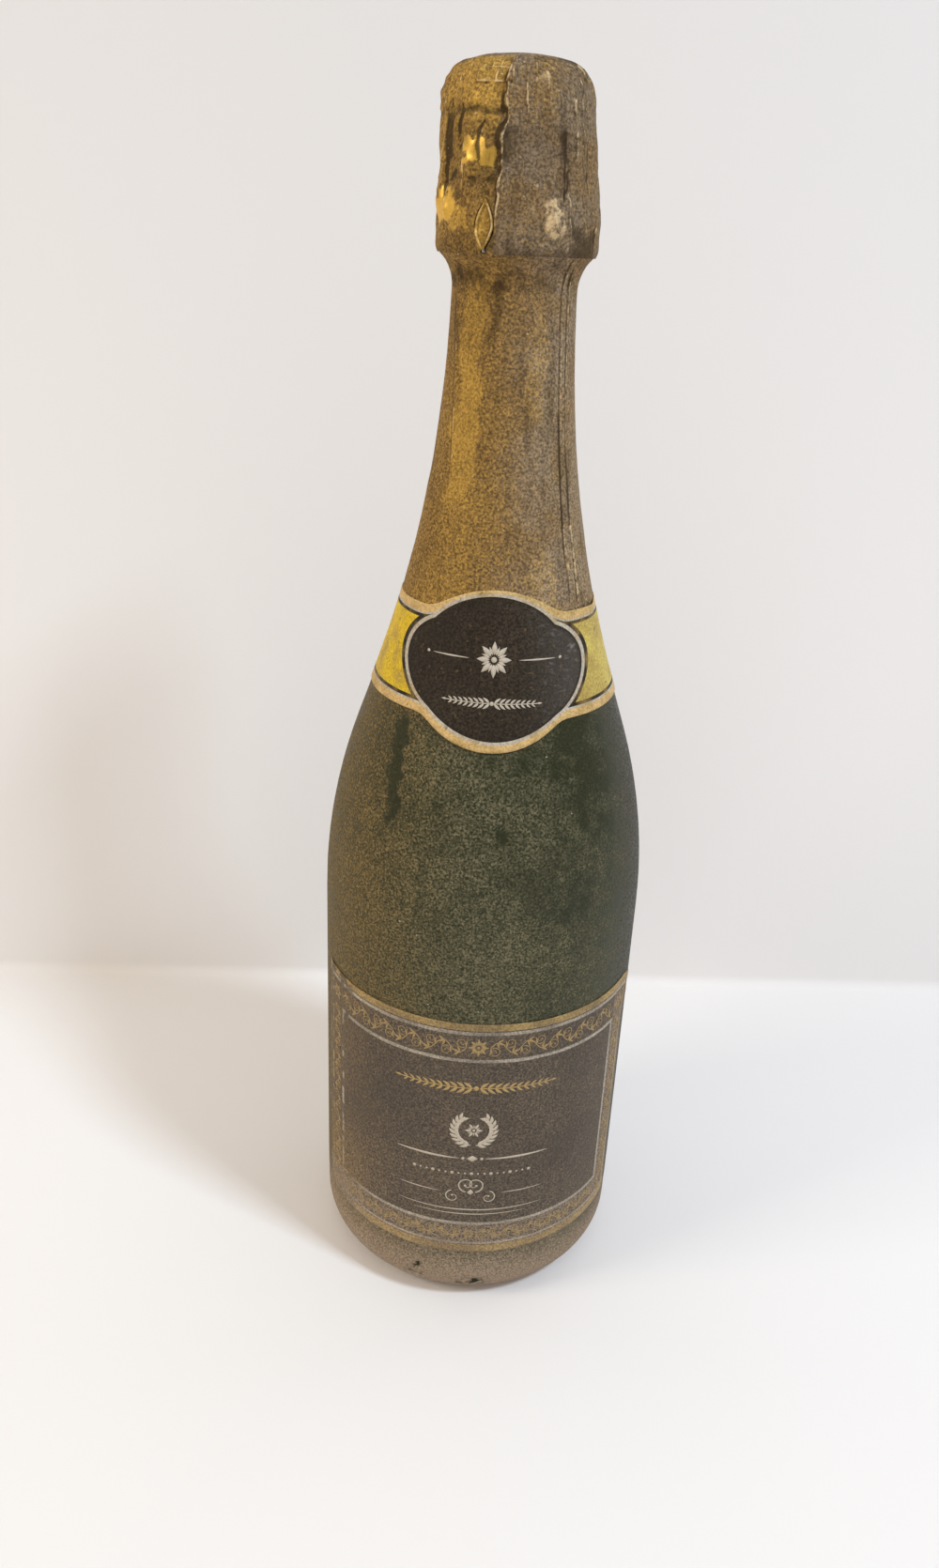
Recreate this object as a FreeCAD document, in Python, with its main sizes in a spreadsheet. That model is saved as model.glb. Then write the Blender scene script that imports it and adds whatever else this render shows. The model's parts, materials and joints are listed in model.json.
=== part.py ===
import FreeCAD, Part
import math
import os
import re
import Sketcher

# Champagne bottle, standing on its base. Millimetres, +Z up, origin at the middle of the base.
# The front of the body label faces -Y.

# Driving sizes, one sheet cell each
SIZES = {
    # glass, outside
    "body_radius": 44.0,
    "base_outer": 35.2,
    "base_inner": 31.5,
    "heel_radius": 43.9,
    "heel_height": 12.5,
    "heel_round": 12.6,
    "body_bottom": 20.0,
    "body_top": 117.0,
    "shoulder_round": 152.0,
    "shoulder_slope": 19.0,
    "neck_round": 296.0,
    "neck_radius": 14.3,
    # glass, inside
    "wall": 4.3,
    "punt_height": 35.0,
    "punt_wall": 7.5,
    "trough_height": 12.5,
    "trough_top": 17.5,
    "trough_round": 6.0,
    "bore_radius": 8.75,
    "bore_bottom": 274.0,
    # glass finish: the ring that holds the cage, and the lip
    "glass_height": 301.0,
    "ring_radius": 16.0,
    "ring_bottom": 282.5,
    "ring_edge": 285.5,
    "ring_top": 289.0,
    "lip_neck": 13.2,
    "lip_radius": 14.3,
    "lip_bottom": 296.0,
    "lip_height": 4.0,
    "lip_round": 0.8,
    # wine
    "wine_level": 221.0,
    "wine_gap": 0.1,
    # stopper
    "cork_gap": 0.05,
    "cork_bottom": 276.0,
    "disc_height": 6.0,
    "disc_chamfer": 0.8,
    "head_gap": 0.1,
    "head_seat": 12.4,
    "head_radius": 13.95,
    "head_widest": 305.0,
    "head_under_round": 6.2,
    "head_side_round": 56.0,
    "head_waist": 12.5,
    "head_waist_height": 312.0,
    "head_top_radius": 10.7,
    "head_edge": 313.9,
    "head_top": 314.75,
    "head_dome": 317.85,
    # crown cap
    "cap_radius": 11.2,
    "cap_height": 318.3,
    "cap_shoulder": 315.2,
    "cap_skirt": 314.2,
    "cap_sheet": 0.35,
    # wire cage
    "wire": 0.36,
    "leg_wire": 0.72,
    "belt_radius": 15.25,
    "belt_height": 281.3,
    "leg_foot": 15.7,
    "leg_ring": 16.98,
    "leg_ring_top": 287.5,
    "leg_head": 15.0,
    "leg_head_height": 305.0,
    "leg_crown": 13.65,
    "leg_crown_height": 312.2,
    "leg_rim": 12.2,
    "leg_rim_height": 315.7,
    "leg_top": 10.5,
    "leg_bend": 1.0,
    "leg_sweep": 6.0,
    "top_ring_radius": 9.9,
    "top_ring_height": 316.7,
    # twist loop, measured along its own axis from the fold
    "fold_radius": 18.6,
    "fold_gap": 0.05,
    "fold_lean": 3.5,
    "loop_azimuth": -22.6,
    "stem_length": 1.5,
    "root_length": 0.9,
    "loop_middle": 8.3,
    "loop_round": 1.44,
    "loop_spread": 0.42,
    "loop_bend": 1.4,
    "loop_side_bend": 2.9,
    # foil
    "foil": 0.2,
    "foil_gap": 0.03,
    "tear_height": 281.2,
    "tear_gap": 0.15,
    "hood_radius": 18.5,
    "hood_ring_top": 288.5,
    "hood_head": 16.35,
    "hood_head_height": 304.5,
    "hood_crown": 15.1,
    "hood_crown_height": 312.0,
    "hood_corner": 12.2,
    "hood_corner_height": 317.4,
    "hood_corner_round": 6.4,
    "hood_height": 320.2,
    "skirt_bottom": 189.0,
    "skirt_flare": 276.4,
    "flare_round": 3.9,
    "flare_bend": 3.94,
    "tab_sheet": 0.15,
    "tab_width": 1.9,
    "tab_bottom": 1.2,
    "tab_spring": 8.0,
    "tab_top": 10.9,
    "tab_round": 3.2,
    "slot_margin": 0.3,
    "slot_overrun": 1.0,
    "stub_margin": 0.34,
    # paper
    "paper": 0.15,
    "paper_gap": 0.03,
    "label_bottom": 20.3,
    "label_top": 99.1,
    "label_angle": 140.0,
    "label_azimuth": 2.0,
    "collar_bottom": 178.2,
    "collar_top": 202.6,
    "lobe_top": 208.4,
    "lobe_top_half": 15.0,
    "lobe_bottom": 171.3,
    "lobe_bottom_half": 16.4,
    "lobe_depth": 60.0,
}

LEG_ANGLES = (45.0, 135.0, 225.0, 315.0)

UP = FreeCAD.Vector(0, 0, 1)
ORIGIN = FreeCAD.Vector(0, 0, 0)

doc = FreeCAD.newDocument("champagne_bottle")
sheet = doc.addObject("Spreadsheet::Sheet", "Sizes")


def fill_sheet():
    """Write each driving size into its own named cell."""
    for row, (name, number) in enumerate(SIZES.items(), 1):
        sheet.set(f"A{row}", name)
        sheet.set(f"B{row}", str(number))
        sheet.setAlias(f"B{row}", name)
    doc.recompute()


def size(formula):
    """The number that a formula over the sheet's names gives."""
    found = sheet.evalExpression(formula)
    return float(getattr(found, "Value", found))


def bound(formula):
    """The same formula with each name pointing at the sheet."""

    def point_at_sheet(match):
        word = match.group(0)
        return f"Sizes.{word}" if word in SIZES else word

    return re.sub(r"[a-z_]+", point_at_sheet, formula)


# Sketch helpers


def new_body(label, angle="0"):
    """An empty body, turned about the bottle's axis by a formula in degrees."""
    body = doc.addObject("PartDesign::Body", label)
    body.Label = label
    body.Placement = FreeCAD.Placement(ORIGIN, FreeCAD.Rotation(UP, size(angle)))
    return body


def new_sketch(body, name, plane, offset=None):
    """A sketch on one of the body's own planes, moved along its normal by a formula."""
    sketch = body.newObject("Sketcher::SketchObject", name)
    roles = {feature.Role: feature for feature in body.Origin.OriginFeatures}
    sketch.AttachmentSupport = (roles[plane], "")
    sketch.MapMode = "FlatFace"
    if offset:
        sketch.setExpression("AttachmentOffset.Base.z", bound(offset))
    return sketch


def dimension(sketch, kind, formula, *places):
    """Add one dimension and bind it to the sheet."""
    number = sketch.addConstraint(Sketcher.Constraint(kind, *places, size(formula)))
    sketch.setExpression(f"Constraints[{number}]", bound(formula))


def pin_point(sketch, edge, end, across, along):
    """Hold an end of an edge at a place given by two formulas."""
    for kind, axis, formula in (("DistanceX", -2, across), ("DistanceY", -1, along)):
        if formula == "0":
            sketch.addConstraint(Sketcher.Constraint("PointOnObject", edge, end, axis))
        else:
            dimension(sketch, kind, formula, -1, 1, edge, end)


def arc_between(start, end, radius, turn):
    """The short arc from start to end; turn is 1 to the left, -1 to the right."""
    middle = (start + end) * 0.5
    chord = end - start
    rise = math.sqrt(max(radius**2 - (chord.Length / 2) ** 2, 0.0))
    side = FreeCAD.Vector(-chord.y, chord.x, 0).normalize()
    centre = middle + side * rise * turn
    first, last = (start, end) if turn > 0 else (end, start)
    angles = [math.atan2(p.y - centre.y, p.x - centre.x) for p in (first, last)]
    return Part.ArcOfCircle(Part.Circle(centre, UP, radius), *angles)


def outline(body, name, plane, corners, bends=None, offset=None):
    """A closed outline through corners. bends maps a corner's number to the arc that leaves it."""
    bends = bends or {}
    sketch = new_sketch(body, name, plane, offset)
    points = [FreeCAD.Vector(size(across), size(along), 0) for across, along in corners]
    edges = []
    for number, start in enumerate(points):
        end = points[(number + 1) % len(points)]
        if number in bends:
            radius, turn = bends[number]
            edge = sketch.addGeometry(arc_between(start, end, size(radius), turn))
            edges.append((edge, 1, 2) if turn > 0 else (edge, 2, 1))
        else:
            edges.append((sketch.addGeometry(Part.LineSegment(start, end)), 1, 2))
    for number, (edge, _, last) in enumerate(edges):
        after, first, _ = edges[(number + 1) % len(edges)]
        sketch.addConstraint(Sketcher.Constraint("Coincident", edge, last, after, first))
    for (edge, first, _), (across, along) in zip(edges, corners):
        pin_point(sketch, edge, first, across, along)
    for number, (radius, _) in bends.items():
        dimension(sketch, "Radius", radius, edges[number][0])
    return sketch


def circle(body, name, plane, across, along, radius, offset=None):
    """One round section at a place given by two formulas."""
    sketch = new_sketch(body, name, plane, offset)
    centre = FreeCAD.Vector(size(across), size(along), 0)
    edge = sketch.addGeometry(Part.Circle(centre, UP, size(radius)))
    pin_point(sketch, edge, 3, across, along)
    dimension(sketch, "Radius", radius, edge)
    return sketch


def rounded_path(body, name, plane, corners, rounds):
    """An open path of straight runs, with an arc of its own radius at each inner corner."""
    sketch = new_sketch(body, name, plane)
    points = [FreeCAD.Vector(size(across), size(along), 0) for across, along in corners]
    ends = [[point, point] for point in points]
    for number in range(1, len(points) - 1):
        before = (points[number - 1] - points[number]).normalize()
        after = (points[number + 1] - points[number]).normalize()
        setback = size(rounds[number - 1]) / math.tan(before.getAngle(after) / 2)
        ends[number] = [points[number] + before * setback, points[number] + after * setback]
    runs = []
    for near, far in zip(ends, ends[1:]):
        runs.append(sketch.addGeometry(Part.LineSegment(near[1], far[0])))
    for number in range(1, len(points) - 1):
        start, end = ends[number]
        before = points[number] - points[number - 1]
        after = points[number + 1] - points[number]
        turn = 1 if before.cross(after).z > 0 else -1
        bend = sketch.addGeometry(arc_between(start, end, size(rounds[number - 1]), turn))
        first, last = (1, 2) if turn > 0 else (2, 1)
        corner = sketch.addGeometry(Part.Point(points[number]), True)
        sketch.addConstraint(Sketcher.Constraint("Tangent", runs[number - 1], 2, bend, first))
        sketch.addConstraint(Sketcher.Constraint("Tangent", bend, last, runs[number], 1))
        for run in (runs[number - 1], runs[number]):
            sketch.addConstraint(Sketcher.Constraint("PointOnObject", corner, 1, run))
        pin_point(sketch, corner, 1, *corners[number])
        dimension(sketch, "Radius", rounds[number - 1], bend)
    pin_point(sketch, runs[0], 1, *corners[0])
    pin_point(sketch, runs[-1], 2, *corners[-1])
    return sketch


def revolve(body, sketch, angle=None):
    """Turn an outline about the sketch's upright axis, fully or by a formula, evenly each way."""
    turned = body.newObject("PartDesign::Revolution", sketch.Name + "Turned")
    turned.Profile = sketch
    turned.ReferenceAxis = (sketch, ["V_Axis"])
    turned.Angle = 360.0
    if angle:
        turned.Midplane = True
        turned.setExpression("Angle", bound(angle))
    return turned


def pad(body, sketch, length):
    """Raise an outline along its normal by a formula."""
    raised = body.newObject("PartDesign::Pad", sketch.Name + "Raised")
    raised.Profile = sketch
    raised.setExpression("Length", bound(length))
    return raised


def pocket_outwards(body, sketch):
    """Cut an outline through everything on the outer side of its plane."""
    cut = body.newObject("PartDesign::Pocket", sketch.Name + "Cut")
    cut.Profile = sketch
    cut.Type = "ThroughAll"
    cut.Reversed = True
    return cut


def pipe(body, section, path):
    """Draw a section along a path."""
    drawn = body.newObject("PartDesign::AdditivePipe", path.Name + "Drawn")
    drawn.Profile = section
    drawn.Spine = path
    return drawn


def lathe(label, corners, bends=None):
    """A piece that is one outline turned about the bottle's axis."""
    body = new_body(label)
    revolve(body, outline(body, label + "_outline", "XZ_Plane", corners, bends))
    return body


# Curves that several pieces share, as formulas

ROUNDS = "(shoulder_round + neck_round)"
FALL = f"(body_radius - neck_radius - {ROUNDS} * (1 - cos(shoulder_slope)))"
NECK_HEIGHT = f"(body_top + {ROUNDS} * sin(shoulder_slope) + {FALL} / tan(shoulder_slope))"
HEAD_SEAT_HEIGHT = "(glass_height + head_gap)"
CORK_RADIUS = "(bore_radius - cork_gap)"


def cap_round(radius, rise):
    """The radius of a round cap that is level on the bottle's axis."""
    return f"((({radius}) ^ 2 + ({rise}) ^ 2) / (2 * ({rise})))"


PUNT_ROUND = cap_round("base_inner", "punt_height")
PUNT_CENTRE = f"(punt_height - {PUNT_ROUND})"


def slope_corners(out):
    """Both ends of the straight slope of the shoulder, set out from the glass by a formula."""
    low_radius = f"body_radius - shoulder_round * (1 - cos(shoulder_slope)) + ({out}) * cos(shoulder_slope)"
    low_height = f"body_top + (shoulder_round + ({out})) * sin(shoulder_slope)"
    high_radius = f"neck_radius + neck_round * (1 - cos(shoulder_slope)) + ({out}) * cos(shoulder_slope)"
    high_height = f"{NECK_HEIGHT} - (neck_round - ({out})) * sin(shoulder_slope)"
    return [(low_radius, low_height), (high_radius, high_height)]


def neck_curve(height, out):
    """The radius on the hollow curve of the neck at a height, set out from the glass."""
    reach = f"(neck_round - ({out}))"
    return f"neck_radius + neck_round - sqrt({reach} ^ 2 - ({NECK_HEIGHT} - {height}) ^ 2)"


def slope_line(height, out):
    """The radius on the straight slope of the shoulder at a height, set out from the glass."""
    (radius, bottom), _ = slope_corners(out)
    return f"{radius} - ({height} - ({bottom})) * tan(shoulder_slope)"


def punt_curve(height, out):
    """The radius on the dome of the punt at a height, set out from the glass underneath."""
    return f"sqrt(({PUNT_ROUND} + {out}) ^ 2 - ({height} - {PUNT_CENTRE}) ^ 2)"


# Pieces


def glass_bottle():
    """The glass in one turned outline: base, outside up to the lip, then down the inside."""
    (low, low_height), (high, high_height) = slope_corners("0")
    (low_in, low_in_height), (high_in, high_in_height) = slope_corners("-wall")
    corners = [
        ("0", "punt_height"),
        ("base_inner", "0"),
        ("base_outer", "0"),
        ("heel_radius", "heel_height"),
        ("body_radius", "body_bottom"),
        ("body_radius", "body_top"),
        (low, low_height),
        (high, high_height),
        ("neck_radius", NECK_HEIGHT),
        ("neck_radius", "ring_bottom"),
        ("ring_radius - lip_round", "ring_bottom"),
        ("ring_radius", "ring_bottom + lip_round"),
        ("ring_radius", "ring_edge"),
        ("lip_neck", "ring_top"),
        ("lip_neck", "lip_bottom"),
        ("lip_radius", "glass_height - lip_height"),
        ("lip_radius", "glass_height - lip_round"),
        ("lip_radius - lip_round", "glass_height"),
        ("bore_radius + lip_round", "glass_height"),
        ("bore_radius", "glass_height - lip_round"),
        ("bore_radius", "bore_bottom"),
        (neck_curve("(bore_bottom - wall)", "-wall"), "bore_bottom - wall"),
        (high_in, high_in_height),
        (low_in, low_in_height),
        ("body_radius - wall", "body_top"),
        ("body_radius - wall", "trough_top"),
        (punt_curve("trough_height", "punt_wall"), "trough_height"),
        ("0", "punt_height + punt_wall"),
    ]
    bends = {
        0: (PUNT_ROUND, -1),
        2: ("heel_round", 1),
        5: ("shoulder_round", 1),
        7: ("neck_round", -1),
        10: ("lip_round", 1),
        16: ("lip_round", 1),
        18: ("lip_round", 1),
        21: ("neck_round + wall", 1),
        23: ("shoulder_round - wall", -1),
        25: ("trough_round", -1),
        26: (f"{PUNT_ROUND} + punt_wall", 1),
    }
    return lathe("glass_bottle", corners, bends)


def wine():
    """The wine, a hair inside the glass, with its level well down the neck."""
    inset = "-(wall + wine_gap)"
    (low, low_height), (high, high_height) = slope_corners(inset)
    corners = [
        ("0", "punt_height + punt_wall + wine_gap"),
        (punt_curve("(trough_height + wine_gap)", "punt_wall + wine_gap"), "trough_height + wine_gap"),
        ("body_radius - wall - wine_gap", "trough_top"),
        ("body_radius - wall - wine_gap", "body_top"),
        (low, low_height),
        (high, high_height),
        (neck_curve("wine_level", inset), "wine_level"),
        ("0", "wine_level"),
    ]
    bends = {
        0: (f"{PUNT_ROUND} + punt_wall + wine_gap", -1),
        1: ("trough_round", 1),
        3: ("shoulder_round - wall - wine_gap", 1),
        5: ("neck_round + wall + wine_gap", -1),
    }
    return lathe("wine", corners, bends)


def cork_body():
    """The agglomerated cork: shank in the bore and a mushroom head over the lip."""
    corners = [
        ("0", "cork_bottom + 2 * disc_height"),
        (CORK_RADIUS, "cork_bottom + 2 * disc_height"),
        (CORK_RADIUS, HEAD_SEAT_HEIGHT),
        ("head_seat", HEAD_SEAT_HEIGHT),
        ("head_radius", "head_widest"),
        ("head_waist", "head_waist_height"),
        ("head_top_radius", "head_edge"),
        ("head_top_radius", "head_top"),
        ("0", "head_dome"),
    ]
    bends = {
        3: ("head_under_round", 1),
        4: ("head_side_round", 1),
        7: (cap_round("head_top_radius", "head_dome - head_top"), 1),
    }
    return lathe("cork_body", corners, bends)


def cork_disc_upper():
    """The natural cork disc between the lower disc and the cork body."""
    corners = [
        ("0", "cork_bottom + disc_height"),
        (CORK_RADIUS, "cork_bottom + disc_height"),
        (CORK_RADIUS, "cork_bottom + 2 * disc_height"),
        ("0", "cork_bottom + 2 * disc_height"),
    ]
    return lathe("cork_disc_upper", corners)


def cork_disc_lower():
    """The natural cork disc that faces the wine, with its edge broken."""
    corners = [
        ("0", "cork_bottom"),
        (f"{CORK_RADIUS} - disc_chamfer", "cork_bottom"),
        (CORK_RADIUS, "cork_bottom + disc_chamfer"),
        (CORK_RADIUS, "cork_bottom + disc_height"),
        ("0", "cork_bottom + disc_height"),
    ]
    return lathe("cork_disc_lower", corners)


def crown_cap():
    """The domed tin plaque on the cork, with a short turned-down edge."""
    corners = [
        ("0", "cap_height"),
        ("0", "cap_height - cap_sheet"),
        ("cap_radius - cap_sheet", "cap_shoulder - cap_sheet"),
        ("cap_radius - cap_sheet", "cap_skirt"),
        ("cap_radius", "cap_skirt"),
        ("cap_radius", "cap_shoulder"),
    ]
    rise = "cap_height - cap_shoulder"
    bends = {1: (cap_round("cap_radius - cap_sheet", rise), -1), 5: (cap_round("cap_radius", rise), 1)}
    return lathe("crown_cap", corners, bends)


def cage_top_ring():
    """The wire ring that lies on the plaque and carries the four legs."""
    ring = doc.addObject("Part::Torus", "cage_top_ring")
    ring.setExpression("Radius1", bound("top_ring_radius"))
    ring.setExpression("Radius2", bound("wire"))
    ring.setExpression("Placement.Base.z", bound("top_ring_height"))
    return ring


def cage_leg(number, angle):
    """One twisted leg, from its eye on the belt over the glass ring and the cork to the top ring."""
    body = new_body(f"cage_leg_{number}", f"loop_azimuth - 90 + {angle}")
    corners = [
        ("leg_foot", "belt_height"),
        ("leg_ring", "belt_height"),
        ("leg_ring", "leg_ring_top"),
        ("leg_head", "leg_head_height"),
        ("leg_crown", "leg_crown_height"),
        ("leg_rim", "leg_rim_height"),
        ("leg_top", "top_ring_height"),
    ]
    rounds = ["leg_bend", "leg_sweep", "leg_sweep", "leg_sweep", "leg_bend"]
    path = rounded_path(body, f"leg_path_{number}", "XZ_Plane", corners, rounds)
    section = circle(body, f"leg_section_{number}", "YZ_Plane", "0", "belt_height", "leg_wire", "leg_foot")
    pipe(body, section, path)
    return body


def belt_wire():
    """The belt under the glass ring, with the short stub that runs out to the loop's fold."""
    body = new_body("belt_wire", "loop_azimuth - 90")
    revolve(body, circle(body, "belt_section", "XZ_Plane", "belt_radius", "belt_height", "wire"))
    stub = circle(body, "stub_section", "YZ_Plane", "0", "belt_height", "wire", "belt_radius")
    pad(body, stub, "fold_radius - wire - fold_gap - belt_radius")
    return body


def fold_placement():
    """The loop's own frame: its origin at the fold, X outwards, Z along the leaning loop."""
    azimuth = FreeCAD.Rotation(UP, size("loop_azimuth - 90"))
    lean = FreeCAD.Rotation(FreeCAD.Vector(0, 1, 0), -size("fold_lean"))
    place = azimuth.multVec(FreeCAD.Vector(size("fold_radius"), 0, size("belt_height")))
    return FreeCAD.Placement(place, azimuth.multiply(lean))


def loop_stem():
    """The fold of the wire: a round end at the belt's stub and a short twisted stem."""
    body = lathe(
        "loop_stem",
        [
            ("0", "-wire"),
            ("wire", "0"),
            ("wire", "stem_length"),
            ("0", "stem_length"),
        ],
        {0: ("wire", 1)},
    )
    body.Placement = fold_placement()
    return body


def twist_loop():
    """The loop itself: a root on the stem and a drop-shaped bend of wire."""
    body = new_body("twist_loop")
    root_bottom = "stem_length + fold_gap"
    start = f"{root_bottom} + root_length / 2"
    half = "loop_spread + wire"
    root = [("-wire", f"-({half})"), ("wire", f"-({half})"), ("wire", half), ("-wire", half)]
    pad(body, outline(body, "root_outline", "XY_Plane", root, None, root_bottom), "root_length")
    shoulder = "loop_middle - loop_round / 2"
    corners = [
        ("-loop_spread", start),
        ("-loop_round", shoulder),
        ("-loop_round", "loop_middle + loop_round"),
        ("loop_round", "loop_middle + loop_round"),
        ("loop_round", shoulder),
        ("loop_spread", start),
    ]
    rounds = ["loop_side_bend", "loop_bend", "loop_bend", "loop_side_bend"]
    path = rounded_path(body, "loop_path", "YZ_Plane", corners, rounds)
    pipe(body, circle(body, "loop_section", "XY_Plane", "0", "-loop_spread", "wire", start), path)
    body.Placement = fold_placement()
    return body


def foil_tab():
    """The tongue of foil that lies over the loop, round-headed and straight-sided."""
    body = new_body("foil_tab")
    corners = [
        ("-tab_width", "tab_bottom"),
        ("tab_width", "tab_bottom"),
        ("tab_width", "tab_spring"),
        ("0", "tab_top"),
        ("-tab_width", "tab_spring"),
    ]
    bends = {2: ("tab_round", 1), 3: ("tab_round", 1)}
    pad(body, outline(body, "tab_outline", "YZ_Plane", corners, bends, "wire + foil_gap"), "tab_sheet")
    body.Placement = fold_placement()
    return body


def foil_hood():
    """The foil over the stopper, open below, with the slot that the tab tears out of."""
    body = new_body("foil_hood", "loop_azimuth - 90")
    rim = "tear_height + tear_gap"
    corners = [
        ("hood_radius", rim),
        ("hood_radius", "hood_ring_top"),
        ("hood_head", "hood_head_height"),
        ("hood_crown", "hood_crown_height"),
        ("hood_corner", "hood_corner_height"),
        ("0", "hood_height"),
        ("0", "hood_height - foil"),
        ("hood_corner - foil", "hood_corner_height - foil"),
        ("hood_crown - foil", "hood_crown_height"),
        ("hood_head - foil", "hood_head_height"),
        ("hood_radius - foil", "hood_ring_top"),
        ("hood_radius - foil", rim),
    ]
    rise = "hood_height - hood_corner_height"
    bends = {
        3: ("hood_corner_round", 1),
        4: (cap_round("hood_corner", rise), 1),
        6: (cap_round("hood_corner - foil", rise), -1),
        7: ("hood_corner_round", -1),
    }
    revolve(body, outline(body, "hood_outline", "XZ_Plane", corners, bends))
    half = "tab_width + slot_margin"
    slot = [
        (f"-({half})", f"{rim} - slot_overrun"),
        (half, f"{rim} - slot_overrun"),
        (half, "belt_height + tab_spring + slot_margin"),
        ("0", "belt_height + tab_top + 2 * slot_margin"),
        (f"-({half})", "belt_height + tab_spring + slot_margin"),
    ]
    arches = {2: ("tab_round", 1), 3: ("tab_round", 1)}
    pocket_outwards(body, outline(body, "slot_outline", "YZ_Plane", slot, arches))
    return body


def foil_skirt():
    """The foil round the neck, flared at the top to the tear line, with a notch for the stub."""
    body = new_body("foil_skirt", "loop_azimuth - 90")
    near = "foil_gap"
    far = "foil_gap + foil"
    rim = "tear_height - tear_gap"
    flare_end = f"neck_radius + {far} + flare_round"
    corners = [
        (neck_curve("skirt_bottom", near), "skirt_bottom"),
        (neck_curve("skirt_bottom", far), "skirt_bottom"),
        (neck_curve("skirt_flare", far), "skirt_flare"),
        (f"{flare_end}", "skirt_flare + flare_round"),
        (f"{flare_end}", rim),
        (f"{flare_end} - foil", rim),
        (f"{flare_end} - foil", "skirt_flare + flare_round + foil"),
        (neck_curve("skirt_flare", near), "skirt_flare"),
    ]
    bends = {
        1: (f"neck_round - ({far})", -1),
        2: ("flare_bend", -1),
        6: ("flare_bend", 1),
        7: (f"neck_round - ({near})", 1),
    }
    revolve(body, outline(body, "skirt_outline", "XZ_Plane", corners, bends))
    notch = circle(body, "stub_notch", "YZ_Plane", "0", "belt_height", "wire + stub_margin")
    pocket_outwards(body, notch)
    return body


def neck_label():
    """The collar label: a band all round the shoulder, with a lobe above and below in front."""
    near = "foil_gap + foil + paper_gap"
    far = f"{near} + paper"
    _, (high_near, high_near_height) = slope_corners(near)
    _, (high_far, high_far_height) = slope_corners(far)
    sheet_of_paper = lathe(
        "collar_sheet",
        [
            (slope_line("lobe_bottom", near), "lobe_bottom"),
            (slope_line("lobe_bottom", far), "lobe_bottom"),
            (high_far, high_far_height),
            (neck_curve("lobe_top", far), "lobe_top"),
            (neck_curve("lobe_top", near), "lobe_top"),
            (high_near, high_near_height),
        ],
        {2: (f"neck_round - ({far})", -1), 4: (f"neck_round - ({near})", 1)},
    )
    band = doc.addObject("Part::Cylinder", "collar_band")
    band.setExpression("Radius", bound("body_radius"))
    band.setExpression("Height", bound("collar_top - collar_bottom"))
    band.setExpression("Placement.Base.z", bound("collar_bottom"))
    lobes = new_body("collar_lobes")
    corners = [
        ("-lobe_bottom_half", "collar_bottom"),
        ("0", "lobe_bottom"),
        ("lobe_bottom_half", "collar_bottom"),
        ("lobe_top_half", "collar_top"),
        ("0", "lobe_top"),
        ("-lobe_top_half", "collar_top"),
    ]
    bottom_round = cap_round("lobe_bottom_half", "collar_bottom - lobe_bottom")
    top_round = cap_round("lobe_top_half", "lobe_top - collar_top")
    bends = {0: (bottom_round, 1), 1: (bottom_round, 1), 3: (top_round, 1), 4: (top_round, 1)}
    pad(lobes, outline(lobes, "lobe_outline", "XZ_Plane", corners, bends), "lobe_depth")
    shape = doc.addObject("Part::Fuse", "collar_shape")
    shape.Base = band
    shape.Tool = lobes
    label = doc.addObject("Part::Common", "neck_label")
    label.Base = sheet_of_paper
    label.Tool = shape
    return label


def body_label():
    """The front label, a curved sheet on the straight part of the body."""
    body = new_body("body_label", "label_azimuth - 90")
    near = "body_radius + paper_gap"
    corners = [
        (near, "label_bottom"),
        (f"{near} + paper", "label_bottom"),
        (f"{near} + paper", "label_top"),
        (near, "label_top"),
    ]
    revolve(body, outline(body, "label_outline", "XZ_Plane", corners), "label_angle")
    return body


def check(pieces):
    """Stop if anything in the document failed or a piece isn't sound solids."""
    for item in doc.Objects:
        if {"Invalid", "Error"} & set(item.State):
            raise RuntimeError(f"{item.Label} failed: {item.State}")
    for piece in pieces:
        if piece.Shape.isNull() or not piece.Shape.isValid() or not piece.Shape.Solids:
            raise RuntimeError(f"{piece.Label} has no sound solid")


def main():
    """Build every piece, check it and write it out."""
    fill_sheet()
    pieces = [
        glass_bottle(),
        wine(),
        cork_body(),
        cork_disc_upper(),
        cork_disc_lower(),
        crown_cap(),
        cage_top_ring(),
        belt_wire(),
        loop_stem(),
        twist_loop(),
        foil_tab(),
        foil_hood(),
        foil_skirt(),
        neck_label(),
        body_label(),
    ]
    for number, angle in enumerate(LEG_ANGLES, 1):
        pieces.append(cage_leg(number, angle))
    doc.recompute()
    check(pieces)
    os.makedirs("parts", exist_ok=True)
    for piece in pieces:
        piece.Shape.exportStep(f"parts/{piece.Label}.step")
        print(f"{piece.Label}: {piece.Shape.Volume / 1000:.3f} cm3, {len(piece.Shape.Solids)} solid")


main()
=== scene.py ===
"""The looks of a dusty sparkling-wine bottle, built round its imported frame.

One operator makes each piece or group of like pieces: glass, stopper, cage, loop, hood, skirt,
collar, front label and stage. Sizes are in metres, in the frame's own axes: +Z up, front at -Y.
"""

import json
import math
import random
from functools import cached_property

import bmesh
import bpy
from bpy.props import FloatProperty, FloatVectorProperty, IntProperty, PointerProperty
from mathutils import Matrix, Vector, noise


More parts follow.
